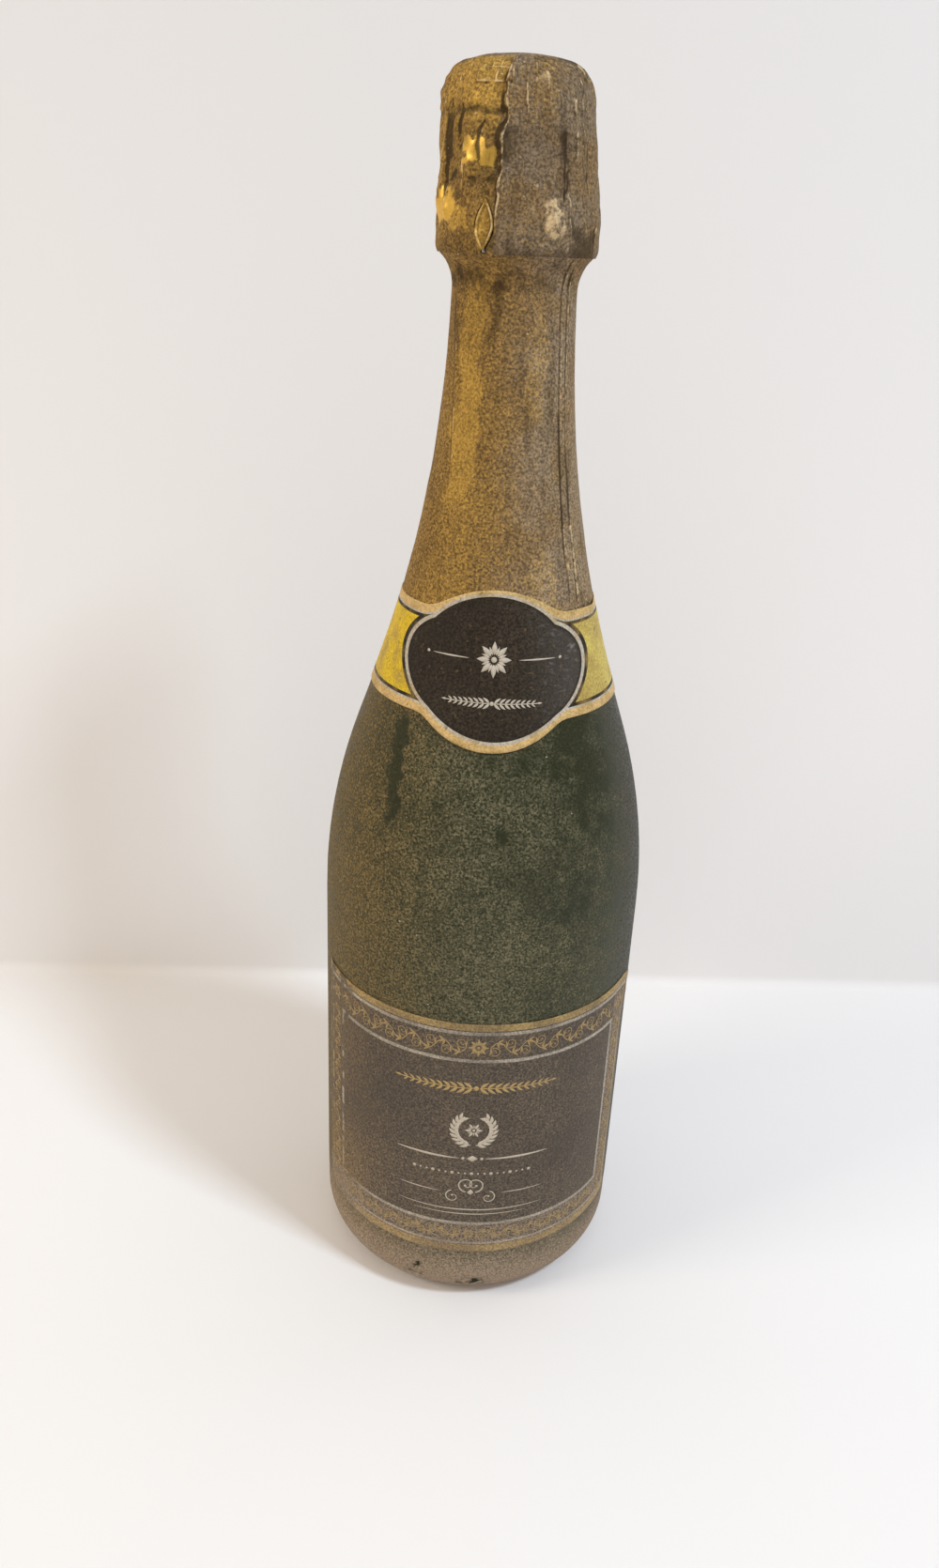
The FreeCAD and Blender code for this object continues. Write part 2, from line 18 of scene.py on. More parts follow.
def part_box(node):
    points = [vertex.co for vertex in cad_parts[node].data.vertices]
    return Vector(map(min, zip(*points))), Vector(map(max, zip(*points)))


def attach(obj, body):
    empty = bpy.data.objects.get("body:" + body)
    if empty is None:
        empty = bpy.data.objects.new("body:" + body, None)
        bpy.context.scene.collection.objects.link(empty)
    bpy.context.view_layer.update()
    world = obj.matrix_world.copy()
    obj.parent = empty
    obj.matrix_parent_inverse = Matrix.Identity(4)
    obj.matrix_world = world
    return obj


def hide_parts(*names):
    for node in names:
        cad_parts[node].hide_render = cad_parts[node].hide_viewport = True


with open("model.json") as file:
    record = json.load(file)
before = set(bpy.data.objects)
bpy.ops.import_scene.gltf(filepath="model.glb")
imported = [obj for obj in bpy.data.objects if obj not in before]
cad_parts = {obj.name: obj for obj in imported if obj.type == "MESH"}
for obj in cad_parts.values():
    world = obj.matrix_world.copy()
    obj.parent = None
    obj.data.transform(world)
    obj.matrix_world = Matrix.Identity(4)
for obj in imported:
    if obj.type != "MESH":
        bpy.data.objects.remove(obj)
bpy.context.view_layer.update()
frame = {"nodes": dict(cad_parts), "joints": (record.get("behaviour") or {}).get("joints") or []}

bl_info = {
    "name": "Dusty sparkling-wine bottle",
    "version": (1, 0, 0),
    "blender": (4, 5, 0),
    "location": "View3D > Sidebar > Bottle",
    "description": "Builds the foil, paper, wire, cork and glass of a dusty bottle on its frame",
    "category": "Object",
}

MM = 0.001

GLASS_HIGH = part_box("glass_bottle")[1]
HOOD_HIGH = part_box("foil_hood")[1]
SKIRT_LOW, SKIRT_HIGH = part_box("foil_skirt")
LABEL_LOW, LABEL_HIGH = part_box("body_label")
COLLAR_LOW, COLLAR_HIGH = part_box("neck_label")
CAP_LOW, CAP_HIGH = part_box("crown_cap")
JOINTS = {joint["name"]: joint for joint in frame["joints"]}


# Settings that a user would change


def length_setting(name, description, millimetres):
    """A length that is kept in metres."""
    return FloatProperty(name=name, description=description, default=millimetres * MM, unit="LENGTH")


def angle_setting(name, description, degrees):
    """An angle that is kept in radians."""
    return FloatProperty(name=name, description=description, default=math.radians(degrees), subtype="ANGLE")


def colour_setting(name, description, *channels):
    """A colour of three channels."""
    return FloatVectorProperty(name=name, description=description, default=channels, subtype="COLOR")


class GlassSettings(bpy.types.PropertyGroup):
    """The outline of the glass and the colours of glass, dust and wine."""

    body_top: length_setting("Body top", "Height where the shoulder starts", 117)
    shoulder_round: length_setting("Shoulder round", "Radius of the shoulder's curve", 152)
    shoulder_slope: angle_setting("Shoulder slope", "Steepest lean of the shoulder", 19)
    neck_round: length_setting("Neck round", "Radius of the neck's hollow curve", 296)
    neck_radius: length_setting("Neck radius", "Radius under the ring", 14.3)
    green: colour_setting("Glass", "Colour of the clean glass", 0.017, 0.021, 0.007)
    dust: colour_setting("Dust", "Dust on the middle", 0.19, 0.17, 0.1)
    grey_dust: colour_setting("Grey dust", "Dust on the right side", 0.115, 0.1, 0.082)
    brown_dust: colour_setting("Brown dust", "Dust on the left side", 0.24, 0.165, 0.065)
    heel_dust: colour_setting("Heel dust", "Dust round the foot", 0.4, 0.3, 0.215)
    fleck: colour_setting("Flecks", "Pale flecks in the dust", 0.6, 0.55, 0.42)
    wine: colour_setting("Wine", "Colour of the wine", 0.75, 0.52, 0.16)


class FoilSettings(bpy.types.PropertyGroup):
    """The gold foil of the hood, the tab and the neck."""

    sheet: length_setting("Foil", "Thickness of the foil", 0.2)
    crumple: length_setting("Crumple", "Depth of the crumples on the hood", 0.5)
    pleats: IntProperty(name="Pleats", description="Pleats round the hood's top edge", default=46)
    pleat_depth: length_setting("Pleat depth", "Depth of the pleats", 0.5)
    leaf_half: length_setting("Tab half width", "Half the width of the tear tab", 2.2)
    leaf_length: length_setting("Tab length", "Length of the tear tab", 10.2)
    gold: colour_setting("Gold", "Colour of the bare foil", 0.88, 0.53, 0.09)
    dust: colour_setting("Dust", "Brown dust on the foil", 0.245, 0.142, 0.052)
    grey_dust: colour_setting("Grey dust", "Dust on the right side", 0.245, 0.182, 0.12)
    # Pale colour of rubbed ridges and of painted highlights
    rub_and_highlight_colour: colour_setting("Shine", "Ridges rubbed bright", 0.7, 0.53, 0.31)
    grime: colour_setting("Grime", "Dark grain on the foil", 0.04, 0.025, 0.011)
    # Dark colour of dirty creases and of painted shade
    dirt_and_shade: colour_setting("Dirt", "Dirt in the creases", 0.025, 0.016, 0.008)


class CageSettings(bpy.types.PropertyGroup):
    """The wire cage."""

    wire: length_setting("Wire", "Radius of the wire", 0.36)
    pitch: length_setting("Twist", "Length of one twist", 4.4)
    steel: colour_setting("Steel", "Colour of the wire", 0.5, 0.48, 0.44)


class StopperSettings(bpy.types.PropertyGroup):
    """The cork, its discs and the plaque on top."""

    granule: length_setting("Granule", "Size of the cork granules", 1.7)
    pale_cork: colour_setting("Pale cork", "Lightest granules", 0.62, 0.4, 0.22)
    dark_cork: colour_setting("Dark cork", "Darkest granules", 0.3, 0.165, 0.075)
    plaque: colour_setting("Plaque", "Lacquer of the tin plaque", 0.5, 0.37, 0.14)
    tin: colour_setting("Tin", "Tin where the lacquer is rubbed", 0.6, 0.58, 0.54)
    plaque_sheet: length_setting("Plaque sheet", "Thickness of the tin", 0.35)


class CollarSettings(bpy.types.PropertyGroup):
    """The lobed paper collar round the shoulder."""

    band_low: length_setting("Band bottom", "Lower edge of the band", 178.2)
    band_high: length_setting("Band top", "Upper edge of the band", 202.6)
    top_half: length_setting("Top lobe", "Half the width of the upper lobe", 15)
    bottom_half: length_setting("Bottom lobe", "Half the width of the lower lobe", 16.4)
    paper: length_setting("Paper", "Thickness of the paper", 0.15)
    stand_off: length_setting("Stand-off", "Paper's outside above the glass", 0.41)
    yellow: colour_setting("Yellow", "Side band on the left", 0.8, 0.55, 0.02)
    faded: colour_setting("Faded yellow", "Side band on the right", 0.7, 0.55, 0.13)
    ground: colour_setting("Ground", "Colour of the cartouche", 0.016, 0.012, 0.009)
    border: colour_setting("Border", "Colour of the dull gold edge", 0.76, 0.52, 0.22)
    silver: colour_setting("Silver", "Colour of the light line", 0.58, 0.52, 0.43)
    stain: colour_setting("Stain", "Brown stains on the bands", 0.42, 0.28, 0.08)
    speck: colour_setting("Specks", "Dark specks all over", 0.12, 0.08, 0.03)
    # Pale colour of the scratches on the cartouche's right and of the painted sheen under them
    scuff_and_sheen: colour_setting("Scuffs", "Rubbed print on the right", 0.36, 0.33, 0.3)
    dust: colour_setting("Dust", "Colour of the dust on the collar", 0.2, 0.155, 0.1)


class LabelSettings(bpy.types.PropertyGroup):
    """The black front label."""

    azimuth: angle_setting("Azimuth", "Middle of the label", 2)
    half_angle: angle_setting("Half angle", "Half the label's turn", 70)
    paper: length_setting("Paper", "Thickness of the paper", 0.15)
    black: colour_setting("Black", "Colour of the printed black", 0.03, 0.025, 0.02)
    gold: colour_setting("Gold", "Colour of the gold rules", 0.5, 0.34, 0.12)
    cream: colour_setting("Cream", "Colour of the fine rules", 0.62, 0.55, 0.44)
    bare: colour_setting("Bare paper", "Chipped edge of the paper", 0.4, 0.33, 0.25)
    dust: colour_setting("Dust", "Colour of the dust on the paper", 0.25, 0.19, 0.13)
    brown_dust: colour_setting("Brown dust", "Dust on the left side", 0.32, 0.215, 0.105)


class StageSettings(bpy.types.PropertyGroup):
    """The paper sweep, the two lamps and the camera."""

    eye: FloatVectorProperty(
        name="Eye", description="Place of the camera", default=(0, -296.06 * MM, 282.52 * MM), unit="LENGTH"
    )
    pitch: angle_setting("Pitch", "How far the camera looks down", 24.56)
    yaw: angle_setting("Yaw", "How far the camera turns left", 0.945)
    roll: angle_setting("Roll", "How far the camera leans", 2.756)
    lens: FloatProperty(name="Lens", description="Focal length in millimetres", default=27.097)
    paper: colour_setting("Paper", "Colour of the sweep", 0.865, 0.85, 0.845)
    wall: length_setting("Wall", "Distance from the bottle's axis to the wall", 125)
    cool: colour_setting("Day light", "Colour of the right lamp", 0.72, 0.86, 1.0)
    warm: colour_setting("Warm light", "Colour of the left lamp", 1.0, 0.93, 0.76)
    sky_colour: colour_setting("Even light", "Colour of the even light", 1.0, 0.87, 0.77)
    day_watts: FloatProperty(
        name="Day power", description="Power of the right lamp", default=7.1, unit="POWER"
    )
    warm_watts: FloatProperty(
        name="Warm power", description="Power of the left lamp", default=2.9, unit="POWER"
    )
    sky: FloatProperty(name="Sky", description="Strength of the even light all round", default=0.6)


class BottleSettings(bpy.types.PropertyGroup):
    """All settings of the bottle."""

    glass: PointerProperty(type=GlassSettings, name="Glass", description="Glass and wine")
    foil: PointerProperty(type=FoilSettings, name="Foil", description="Hood, tab and neck foil")
    cage: PointerProperty(type=CageSettings, name="Cage", description="Wire cage")
    stopper: PointerProperty(type=StopperSettings, name="Stopper", description="Cork and plaque")
    collar: PointerProperty(type=CollarSettings, name="Collar", description="Paper collar")
    label: PointerProperty(type=LabelSettings, name="Label", description="Front label")
    stage: PointerProperty(type=StageSettings, name="Stage", description="Sweep, lamps and camera")


# Node materials


class Field:
    """A value that differs from place to place, worked out by the nodes of a tree."""

    def __init__(self, nodes, socket):
        self.nodes = nodes
        self.socket = socket

    def maths(self, operation, *values):
        """One step of arithmetic on this value and others."""
        node = self.nodes.add("ShaderNodeMath", dict(enumerate((self, *values))), operation=operation)
        return Field(self.nodes, node.outputs[0])

    def __add__(self, other):
        return self.maths("ADD", other)

    def __sub__(self, other):
        return self.maths("SUBTRACT", other)

    def __mul__(self, other):
        return self.maths("MULTIPLY", other)

    def most(self, other):
        """The larger of two values."""
        return self.maths("MAXIMUM", other)

    def span(self, low, high, bottom=0.0, top=1.0):
        """A smooth step: bottom where the value is low, top where it is high."""
        inputs = {"Value": self, "From Min": low, "From Max": high, "To Min": bottom, "To Max": top}
        node = self.nodes.add("ShaderNodeMapRange", inputs, interpolation_type="SMOOTHSTEP")
        return Field(self.nodes, node.outputs["Result"])

    def fade(self, start, end):
        """A smooth step from start, where the value is 0, to end, where it is 1."""
        return self.span(0.0, 1.0, start, end)

    def near(self, centre, half, soft):
        """1 within half of centre, fading to 0 over soft."""
        return (self - centre).maths("ABSOLUTE").span(half + soft, half)

    def near_turn(self, *degrees):
        """Near for an angle, with its centre, half and soft in degrees."""
        return self.near(*(math.radians(angle) for angle in degrees))


class Nodes:
    """A node tree while it is being built."""

    def __init__(self, tree):
        self.tree = tree

    def add(self, kind, inputs=None, **settings):
        """A new node with its settings and inputs."""
        node = self.tree.nodes.new(kind)
        for key, setting in settings.items():
            setattr(node, key, setting)
        for socket, value in (inputs or {}).items():
            self.feed(node.inputs[socket], value)
        return node

    def feed(self, socket, value):
        """Link a socket to a field or to another socket, or set it to a number or colour."""
        if isinstance(value, Field):
            value = value.socket
        if isinstance(value, bpy.types.NodeSocket):
            self.tree.links.new(value, socket)
        elif hasattr(value, "__len__") and len(value) == 3 and socket.type == "RGBA":
            socket.default_value = (*value, 1.0)
        else:
            socket.default_value = value


class Finish(Nodes):
    """One node material while it is being built."""

    def __init__(self, name):
        self.material = bpy.data.materials.new(name)
        self.material.use_nodes = True
        super().__init__(self.material.node_tree)
        self.shader = self.tree.nodes["Principled BSDF"]
        self.place = self.add("ShaderNodeTexCoord").outputs["Object"]

    @cached_property
    def height(self):
        """The height above the surface that the bottle stands on."""
        return self.split(self.place)[2]

    @cached_property
    def turn(self):
        """The angle round the bottle's axis: 0 in front, positive to the right."""
        across, deep, _ = self.split(self.place)
        return across.maths("ARCTAN2", deep * -1.0)

    @cached_property
    def side(self):
        """How far round to one side: -1 on the left, 0 in front and behind, 1 on the right."""
        return self.turn.maths("SINE")

    def split(self, vector):
        """The three numbers of a vector."""
        outputs = self.add("ShaderNodeSeparateXYZ", {0: vector}).outputs
        return [Field(self, output) for output in outputs]

    def shade(self, **sockets):
        """Feed the shader's sockets; Base_Color stands for Base Color."""
        for name, value in sockets.items():
            self.feed(self.shader.inputs[name.replace("_", " ")], value)
        return self.material

    def mix(self, factor, first, second):
        """The first colour where factor is 0, the second where it is 1."""
        node = self.add("ShaderNodeMix", {0: factor, 6: first, 7: second}, data_type="RGBA")
        return Field(self, node.outputs[2])

    def noise(self, scale, detail, seed, place=None, rough=0.55):
        """Soft noise round 0.5; another seed gives another pattern."""
        inputs = {"Vector": place or self.place, "W": seed, "Scale": scale}
        inputs.update({"Detail": detail, "Roughness": rough})
        return Field(self, self.add("ShaderNodeTexNoise", inputs, noise_dimensions="4D").outputs["Fac"])

    def streaks(self, level, upright, detail, seed):
        """Noise whose spots are drawn out along the bottle's axis or round it."""
        scales = (level, level, upright)
        place = self.add("ShaderNodeVectorMath", {0: self.place, 1: scales}, operation="MULTIPLY")
        return self.noise(1.0, detail, seed, place.outputs[0])

    def stray(self, scale, detail, seed, reach):
        """Noise that strays from 0 to each side, as far as reach."""
        return self.noise(scale, detail, seed) * (2 * reach) - reach

    def bump(self, height, strength, distance):
        """Fine unevenness of the surface."""
        inputs = {"Height": height, "Strength": strength, "Distance": distance}
        self.shade(Normal=self.add("ShaderNodeBump", inputs).outputs[0])

    def attribute(self, name):
        """The number that each vertex of the mesh keeps under a name."""
        return Field(self, self.add("ShaderNodeAttribute", attribute_name=name).outputs["Fac"])

    def print_map(self):
        """The two numbers that the map named print holds."""
        return self.split(self.add("ShaderNodeUVMap", uv_map="print").outputs[0])[:2]


def toned(colour, share):
    """A colour made darker or lighter."""
    return tuple(min(1.0, channel * share) for channel in colour)


def fine_grain(finish, seed):
    """Fine even grain, from 0 to 1."""
    return finish.noise(1700.0, 2.0, seed, rough=0.6).span(0.36, 0.64)


def dust_grain(finish, cover, patchy, grainy, seed):
    """How thickly dust lies, from 0 to 1, as patches and grain round a mean cover."""
    least = 0.08
    patches = finish.stray(48.0, 4.0, seed, 0.5) * patchy + cover
    grain = fine_grain(finish, seed) * (2 * grainy) + (1 - grainy)
    return (patches.most(least) * grain).maths("MINIMUM", 1.0)


def speckle(finish, colour, dark, share, seed):
    """Dark grain strewn over a colour."""
    return finish.mix(fine_grain(finish, seed) * share, colour, dark)


def bare_share(finish, patches):
    """How bare the foil is: each patch has a turn, half a width, a lower and an upper height and a share."""
    sway = finish.stray(130.0, 4.0, 1.0, 1.0)
    turn = sway * 0.35 + finish.turn
    height = sway * (6 * MM) + finish.height
    bare = 0.0
    for middle, half, low, high, share in patches:
        rise = (high - low) * MM
        wide = turn.near_turn(middle, half, 4 + half * 0.3)
        tall = height.near(low * MM + rise / 2, rise * 0.42, rise * 0.2)
        bare = (wide * tall * share).most(bare)
    return bare


# Dark smudges on the heel: turn and half a width in degrees, height and half a height in mm
HEEL_SMUDGES = ((-17, 1, 10.8, 2.2), (5, 3, 7.5, 1.2), (128, 3, 9, 1.5))
HEEL_TOP, HEEL_FOOT = 34 * MM, 6 * MM

# The run in the dust on the left: turn in degrees, middle height, half its height, lean in radians per metre
RUN_TURN, RUN_HEIGHT, RUN_HALF, RUN_LEAN = -38, 163 * MM, 8 * MM, 4.2


def dusty_glass(settings):
    """Dark green glass under dust: brown on the left, with painted light through the glass on the right,
    drawn as thinner dust that shows the green.
    """
    finish = Finish("dusty_green_glass")
    side, height = finish.side, finish.height
    heel = height.span(HEEL_TOP, HEEL_FOOT)
    low = height.span(165 * MM, 112 * MM)
    loose_turn = finish.turn + finish.stray(70.0, 4.0, 9.0, 0.35)
    # Painted light shining through the glass on the right, drawn as thinner dust that shows the green
    painted_glow = loose_turn.near_turn(40, 10, 24) * low.fade(1.0, 0.8)
    leant = (height - RUN_HEIGHT) * RUN_LEAN + finish.turn + finish.stray(230.0, 4.0, 3.0, 0.15)
    run = leant.near_turn(RUN_TURN, 1, 3) * height.near(RUN_HEIGHT, RUN_HALF, RUN_HALF)
    drips = finish.streaks(170.0, 16.0, 3.0, 4.0).span(0.6, 0.78, 0.0, 0.6)
    clean = drips.most(run) * low.fade(1.0, 0.35)
    mottle = finish.stray(210.0, 3.0, 11.0, 0.5) * heel.fade(1.1, 0.2)
    cover = heel * 0.45 + side.span(-0.25, -0.95) * 0.2 + low * 0.13 + mottle + 0.5
    dust = dust_grain(finish, cover - painted_glow * 0.36 - clean * 0.75, patchy=1.1, grainy=0.9, seed=1.0)
    dust = dust.most(heel * 0.72)
    finish.bump(dust, 0.4, 0.06 * MM)
    dust_colour = finish.mix(side.span(-0.85, 0.0), settings.brown_dust, settings.dust)
    dust_colour = finish.mix(side.span(0.72, 0.95), dust_colour, settings.grey_dust)
    dust_colour = finish.mix(heel, dust_colour, settings.heel_dust)
    colour = finish.mix(dust, settings.green, dust_colour)
    colour = finish.mix(finish.noise(420.0, 1.0, 8.0).span(0.76, 0.78), colour, settings.fleck)
    ragged = finish.noise(420.0, 3.0, 5.0).span(0.42, 0.56)
    for middle, half, level, rise in HEEL_SMUDGES:
        wide = loose_turn.near_turn(middle, half, 4)
        tall = height.near(level * MM, rise * MM, 1.5 * MM)
        colour = finish.mix(wide * tall * ragged, colour, settings.green)
    colour = speckle(finish, colour, settings.green, heel.fade(0.68, 0.3), 6.0)
    roughness = dust.span(0.1, 0.8, 0.36, 0.9)
    return finish.shade(Base_Color=colour, Roughness=roughness, IOR=1.5, Specular_IOR_Level=0.2)


def clear_wine(settings):
    """Still golden wine."""
    finish = Finish("golden_wine")
    colour = finish.mix(finish.noise(30.0, 2.0, 2.0), settings.wine, toned(settings.wine, 1.12))
    return finish.shade(Base_Color=colour, Roughness=0.02, IOR=1.34, Transmission_Weight=0.9)


def gold_foil(settings, name, cover, patches, brown=-0.4, grey=0.6, light=1.0):
    """Gold foil under dust, brown on the left and grey on the right; its creases are darkened, partly as
    dirty foil and partly as painted shade, and its ridges lightened, partly as rubbed foil and partly as
    painted highlight.
    """
    finish = Finish(name)
    # The ridge attribute lightens the foil: partly rubbed foil, partly painted highlight
    rubbed = finish.attribute("ridge").span(0.3, 1.0) * finish.noise(480.0, 3.0, 6.0).span(0.4, 0.56)
    on_top = finish.height.span(HOOD_HIGH.z - 2.6 * MM, HOOD_HIGH.z - MM)
    greyed = finish.side.span(brown, grey).most(on_top)
    cover = greyed * 0.2 + cover - bare_share(finish, patches) - rubbed * 0.25
    dust = dust_grain(finish, cover, patchy=0.6, grainy=0.25, seed=3.0)
    gold = finish.mix(finish.noise(240.0, 4.0, 7.0), toned(settings.gold, 0.72), settings.gold)
    cold = finish.noise(75.0, 3.0, 2.0).span(0.42, 0.6, 1.0, 0.45)
    # A light above 1 lightens the grey dust on the right: a painted highlight, used on the neck
    dust_colour = finish.mix(greyed * cold, settings.dust, toned(settings.grey_dust, light))
    colour = finish.mix(dust, gold, dust_colour)
    # The crease attribute darkens the foil: partly dirty foil, partly painted shade
    dirt_and_shade = finish.attribute("crease").span(0.12, 0.8)
    colour = finish.mix(dirt_and_shade * 0.85, colour, settings.dirt_and_shade)
    streaks = finish.streaks(260.0, 26.0, 3.0, 4.0).span(0.52, 0.74)
    colour = finish.mix(streaks * 0.5, colour, settings.grime)
    specks = finish.noise(650.0, 2.0, 8.0).span(0.68, 0.74)
    # Bright specks, rubbed ridges and painted highlights take the pale colour and lose some of their metal
    bright = (specks * 0.5).most(rubbed * 0.8)
    colour = finish.mix(bright, colour, settings.rub_and_highlight_colour)
    grainy = dust.span(0.0, 0.8, 0.12, 0.7) - bright * 0.4
    colour = speckle(finish, colour, settings.grime, grainy, 2.0)
    metallic = dust.most(dirt_and_shade).span(0.9, 0.1, 0.05, 0.35) * bright.span(0.0, 0.8, 1.0, 0.25)
    roughness = dust.span(0.0, 0.9, 0.3, 0.75)
    finish.bump(finish.noise(1500.0, 3.0, 5.0) + dust, 0.35, 0.06 * MM)
    return finish.shade(Base_Color=colour, Metallic=metallic, Roughness=roughness, Specular_IOR_Level=0.1)


def cage_steel(settings):
    """Galvanised wire, a little dull and spangled."""
    finish = Finish("cage_steel")
    spangle = finish.noise(900.0, 3.0, 1.0)
    colour = finish.mix(spangle, toned(settings.steel, 0.55), settings.steel)
    return finish.shade(Base_Color=colour, Metallic=1.0, Roughness=spangle.span(0.2, 0.8, 0.25, 0.5))


def pressed_cork(settings, name, granule, seed):
    """Cork granules pressed together, each of its own tone, with dark joints and pores."""
    finish = Finish(name)
    grid = {"Vector": finish.place, "Scale": 1 / granule}
    cells = finish.add("ShaderNodeTexVoronoi", {**grid, "W": seed}, voronoi_dimensions="4D")
    joints = finish.add("ShaderNodeTexVoronoi", grid, feature="DISTANCE_TO_EDGE")
    tone = finish.add("ShaderNodeSeparateColor", {0: cells.outputs["Color"]}).outputs[0]
    colour = finish.mix(tone, settings.dark_cork, settings.pale_cork)
    pores = finish.noise(1700.0, 3.0, seed).span(0.62, 0.72)
    gaps = Field(finish, joints.outputs["Distance"]).span(0.06, 0.0) * 0.6
    colour = finish.mix(gaps.most(pores), colour, toned(settings.dark_cork, 0.35))
    finish.bump(pores * -1.0 + 1.0, 0.5, 0.15 * MM)
    return finish.shade(Base_Color=colour, Roughness=0.85)


def lacquered_tin(settings):
    """The plaque's gold lacquer, rubbed where it stands proud."""
    finish = Finish("lacquered_tin")
    worn = finish.noise(420.0, 4.0, 2.0).span(0.5, 0.75)
    colour = finish.mix(worn * 0.45, settings.plaque, settings.tin)
    return finish.shade(Base_Color=colour, Metallic=0.9, Roughness=worn.fade(0.3, 0.5))


def collar_print(settings):
    """The collar's printed paper; its map holds the distances to the cartouche and to the edge, in mm."""
    finish = Finish("collar_print")
    away, inset = finish.print_map()
    colour = finish.mix(finish.side.span(-0.8, 0.8), settings.yellow, settings.faded)
    stained = finish.turn.near_turn(52, 12, 12) * finish.height.span(194 * MM, 182 * MM, 0.0, 0.5)
    colour = finish.mix(stained, colour, settings.stain)
    lines = (
        (inset, 3.0, settings.ground),
        (away, 1.65, settings.ground),
        (inset, 2.25, settings.silver),
        (inset, 1.8, settings.border),
        (away, 0.8, settings.silver),
        (away, 0.0, settings.ground),
    )
    blur = 0.05
    for distance, limit, tint in lines:
        colour = finish.mix(distance.span(limit + blur, limit - blur), colour, tint)
    mottle = finish.noise(170.0, 5.0, 6.0).span(0.42, 0.66) * away.span(-blur, blur, 0.0, 0.6)
    colour = finish.mix(mottle, colour, settings.stain)
    specks = finish.noise(600.0, 2.0, 8.0).span(0.64, 0.7)
    colour = finish.mix(specks * 0.6, colour, settings.speck)
    inside = away.span(0.0, -1.0)
    scuffs = finish.streaks(400.0, 900.0, 4.0, 9.0).span(0.5, 0.75)
    # On the cartouche's right a painted sheen lies everywhere, with scratches over it
    scuffs_and_sheen = finish.turn.near_turn(46, 4, 32) * inside * scuffs.fade(0.12, 0.5)
    colour = finish.mix(scuffs_and_sheen, colour, settings.scuff_and_sheen)
    dust = dust_grain(finish, inside * 0.07 + 0.04, patchy=0.3, grainy=0.8, seed=2.0)
    colour = finish.mix(dust, colour, settings.dust)
    colour = speckle(finish, colour, settings.ground, 0.32, 3.0)
    finish.bump(finish.noise(1900.0, 2.0, 1.0), 0.2, 0.05 * MM)
    roughness = dust.span(0.0, 0.8, 0.5, 0.8)
    return finish.shade(Base_Color=colour, Roughness=roughness, Specular_IOR_Level=0.1)


# The front label's printed lines in mm: the level rules' heights and half widths, the gold rule along each
# side, and the fine frame's half width, middle height and half height
GOLD_HEAD, GOLD_FOOT = (98.1, 1.0), (21.6, 1.3)
FINE_HEAD, FINE_FOOT = (96.2, 0.45), (23.7, 0.32)
GOLD_SIDE = (51.6, 0.5)
FRAME_HALF, FRAME_MIDDLE, FRAME_RISE = 44.5, 59.25, 28.25


def label_print(settings):
    """The front label's printed paper; its map holds the place on the flat sheet, in mm."""
    finish = Finish("label_print")
    across, up = finish.print_map()
    wide = across.maths("ABSOLUTE")
    fade = finish.noise(55.0, 4.0, 3.0)
    gold = up.near(*GOLD_HEAD, 0.1).most(up.near(*GOLD_FOOT, 0.1)).most(wide.near(*GOLD_SIDE, 0.1))
    beyond_side = wide - FRAME_HALF
    beyond_end = (up - FRAME_MIDDLE).maths("ABSOLUTE") - FRAME_RISE
    framed = beyond_side.most(beyond_end).near(0.0, 0.46, 0.12)
    fine = up.near(*FINE_HEAD, 0.12).most(up.near(*FINE_FOOT, 0.12)).most(framed)
    lost = across.span(-34.0, -44.0) * finish.noise(300.0, 3.0, 2.0).span(0.42, 0.54)
    worn = fade.span(0.3, 0.55, 0.5, 1.0) * lost.fade(1.0, 0.12)
    colour = finish.mix(fade, settings.black, toned(settings.black, 1.6))
    colour = finish.mix(gold * worn, colour, settings.gold)
    colour = finish.mix(fine * worn, colour, toned(settings.cream, 0.85))
    edge = wide.span(52.9, 53.7).most(up.span(20.9, 20.4))
    colour = finish.mix(edge * finish.noise(700.0, 3.0, 4.0).span(0.45, 0.6), colour, settings.bare)
    left = across.span(-20.0, -46.0)
    corner = left * up.span(60.0, 26.0)
    strip = beyond_side.span(0.3, 0.9).most(beyond_end.span(0.3, 0.9))
    rubbed = across.span(44.9, 45.5).most(up.span(30.6, 30.0))
    cover = up.span(60.0, 25.0) * 0.1 + strip * 0.06 + rubbed * 0.25 + corner * 0.35 + 0.38
    dust = dust_grain(finish, cover, patchy=0.5, grainy=0.8, seed=5.0)
    clear = gold.most(fine) * corner.span(0.0, 0.8, 1.0, 0.2)
    dust = dust * clear.fade(1.0, 0.45)
    dust_colour = finish.mix(left, settings.dust, settings.brown_dust)
    dust_colour = finish.mix(rubbed, dust_colour, toned(settings.dust, 1.4))
    colour = finish.mix(dust, colour, dust_colour)
    cracks = finish.noise(210.0, 3.0, 9.0).span(0.64, 0.68) * across.span(-40.0, -46.0)
    colour = finish.mix(cracks, colour, toned(settings.black, 0.4))
    colour = speckle(finish, colour, settings.black, 0.5, 7.0)
    finish.bump(dust, 0.3, 0.05 * MM)
    roughness = dust.span(0.0, 0.8, 0.5, 0.85)
    return finish.shade(Base_Color=colour, Roughness=roughness, Specular_IOR_Level=0.25)


def printed_ink(name, colour, dust_colour, cover):
    """Ink of one colour under the same sparse dust as its paper."""
    finish = Finish(name)
    dust = dust_grain(finish, cover, patchy=0.6, grainy=0.5, seed=6.0)
    inked = finish.mix(dust, colour, dust_colour)
    return finish.shade(Base_Color=inked, Roughness=0.6, Specular_IOR_Level=0.25)


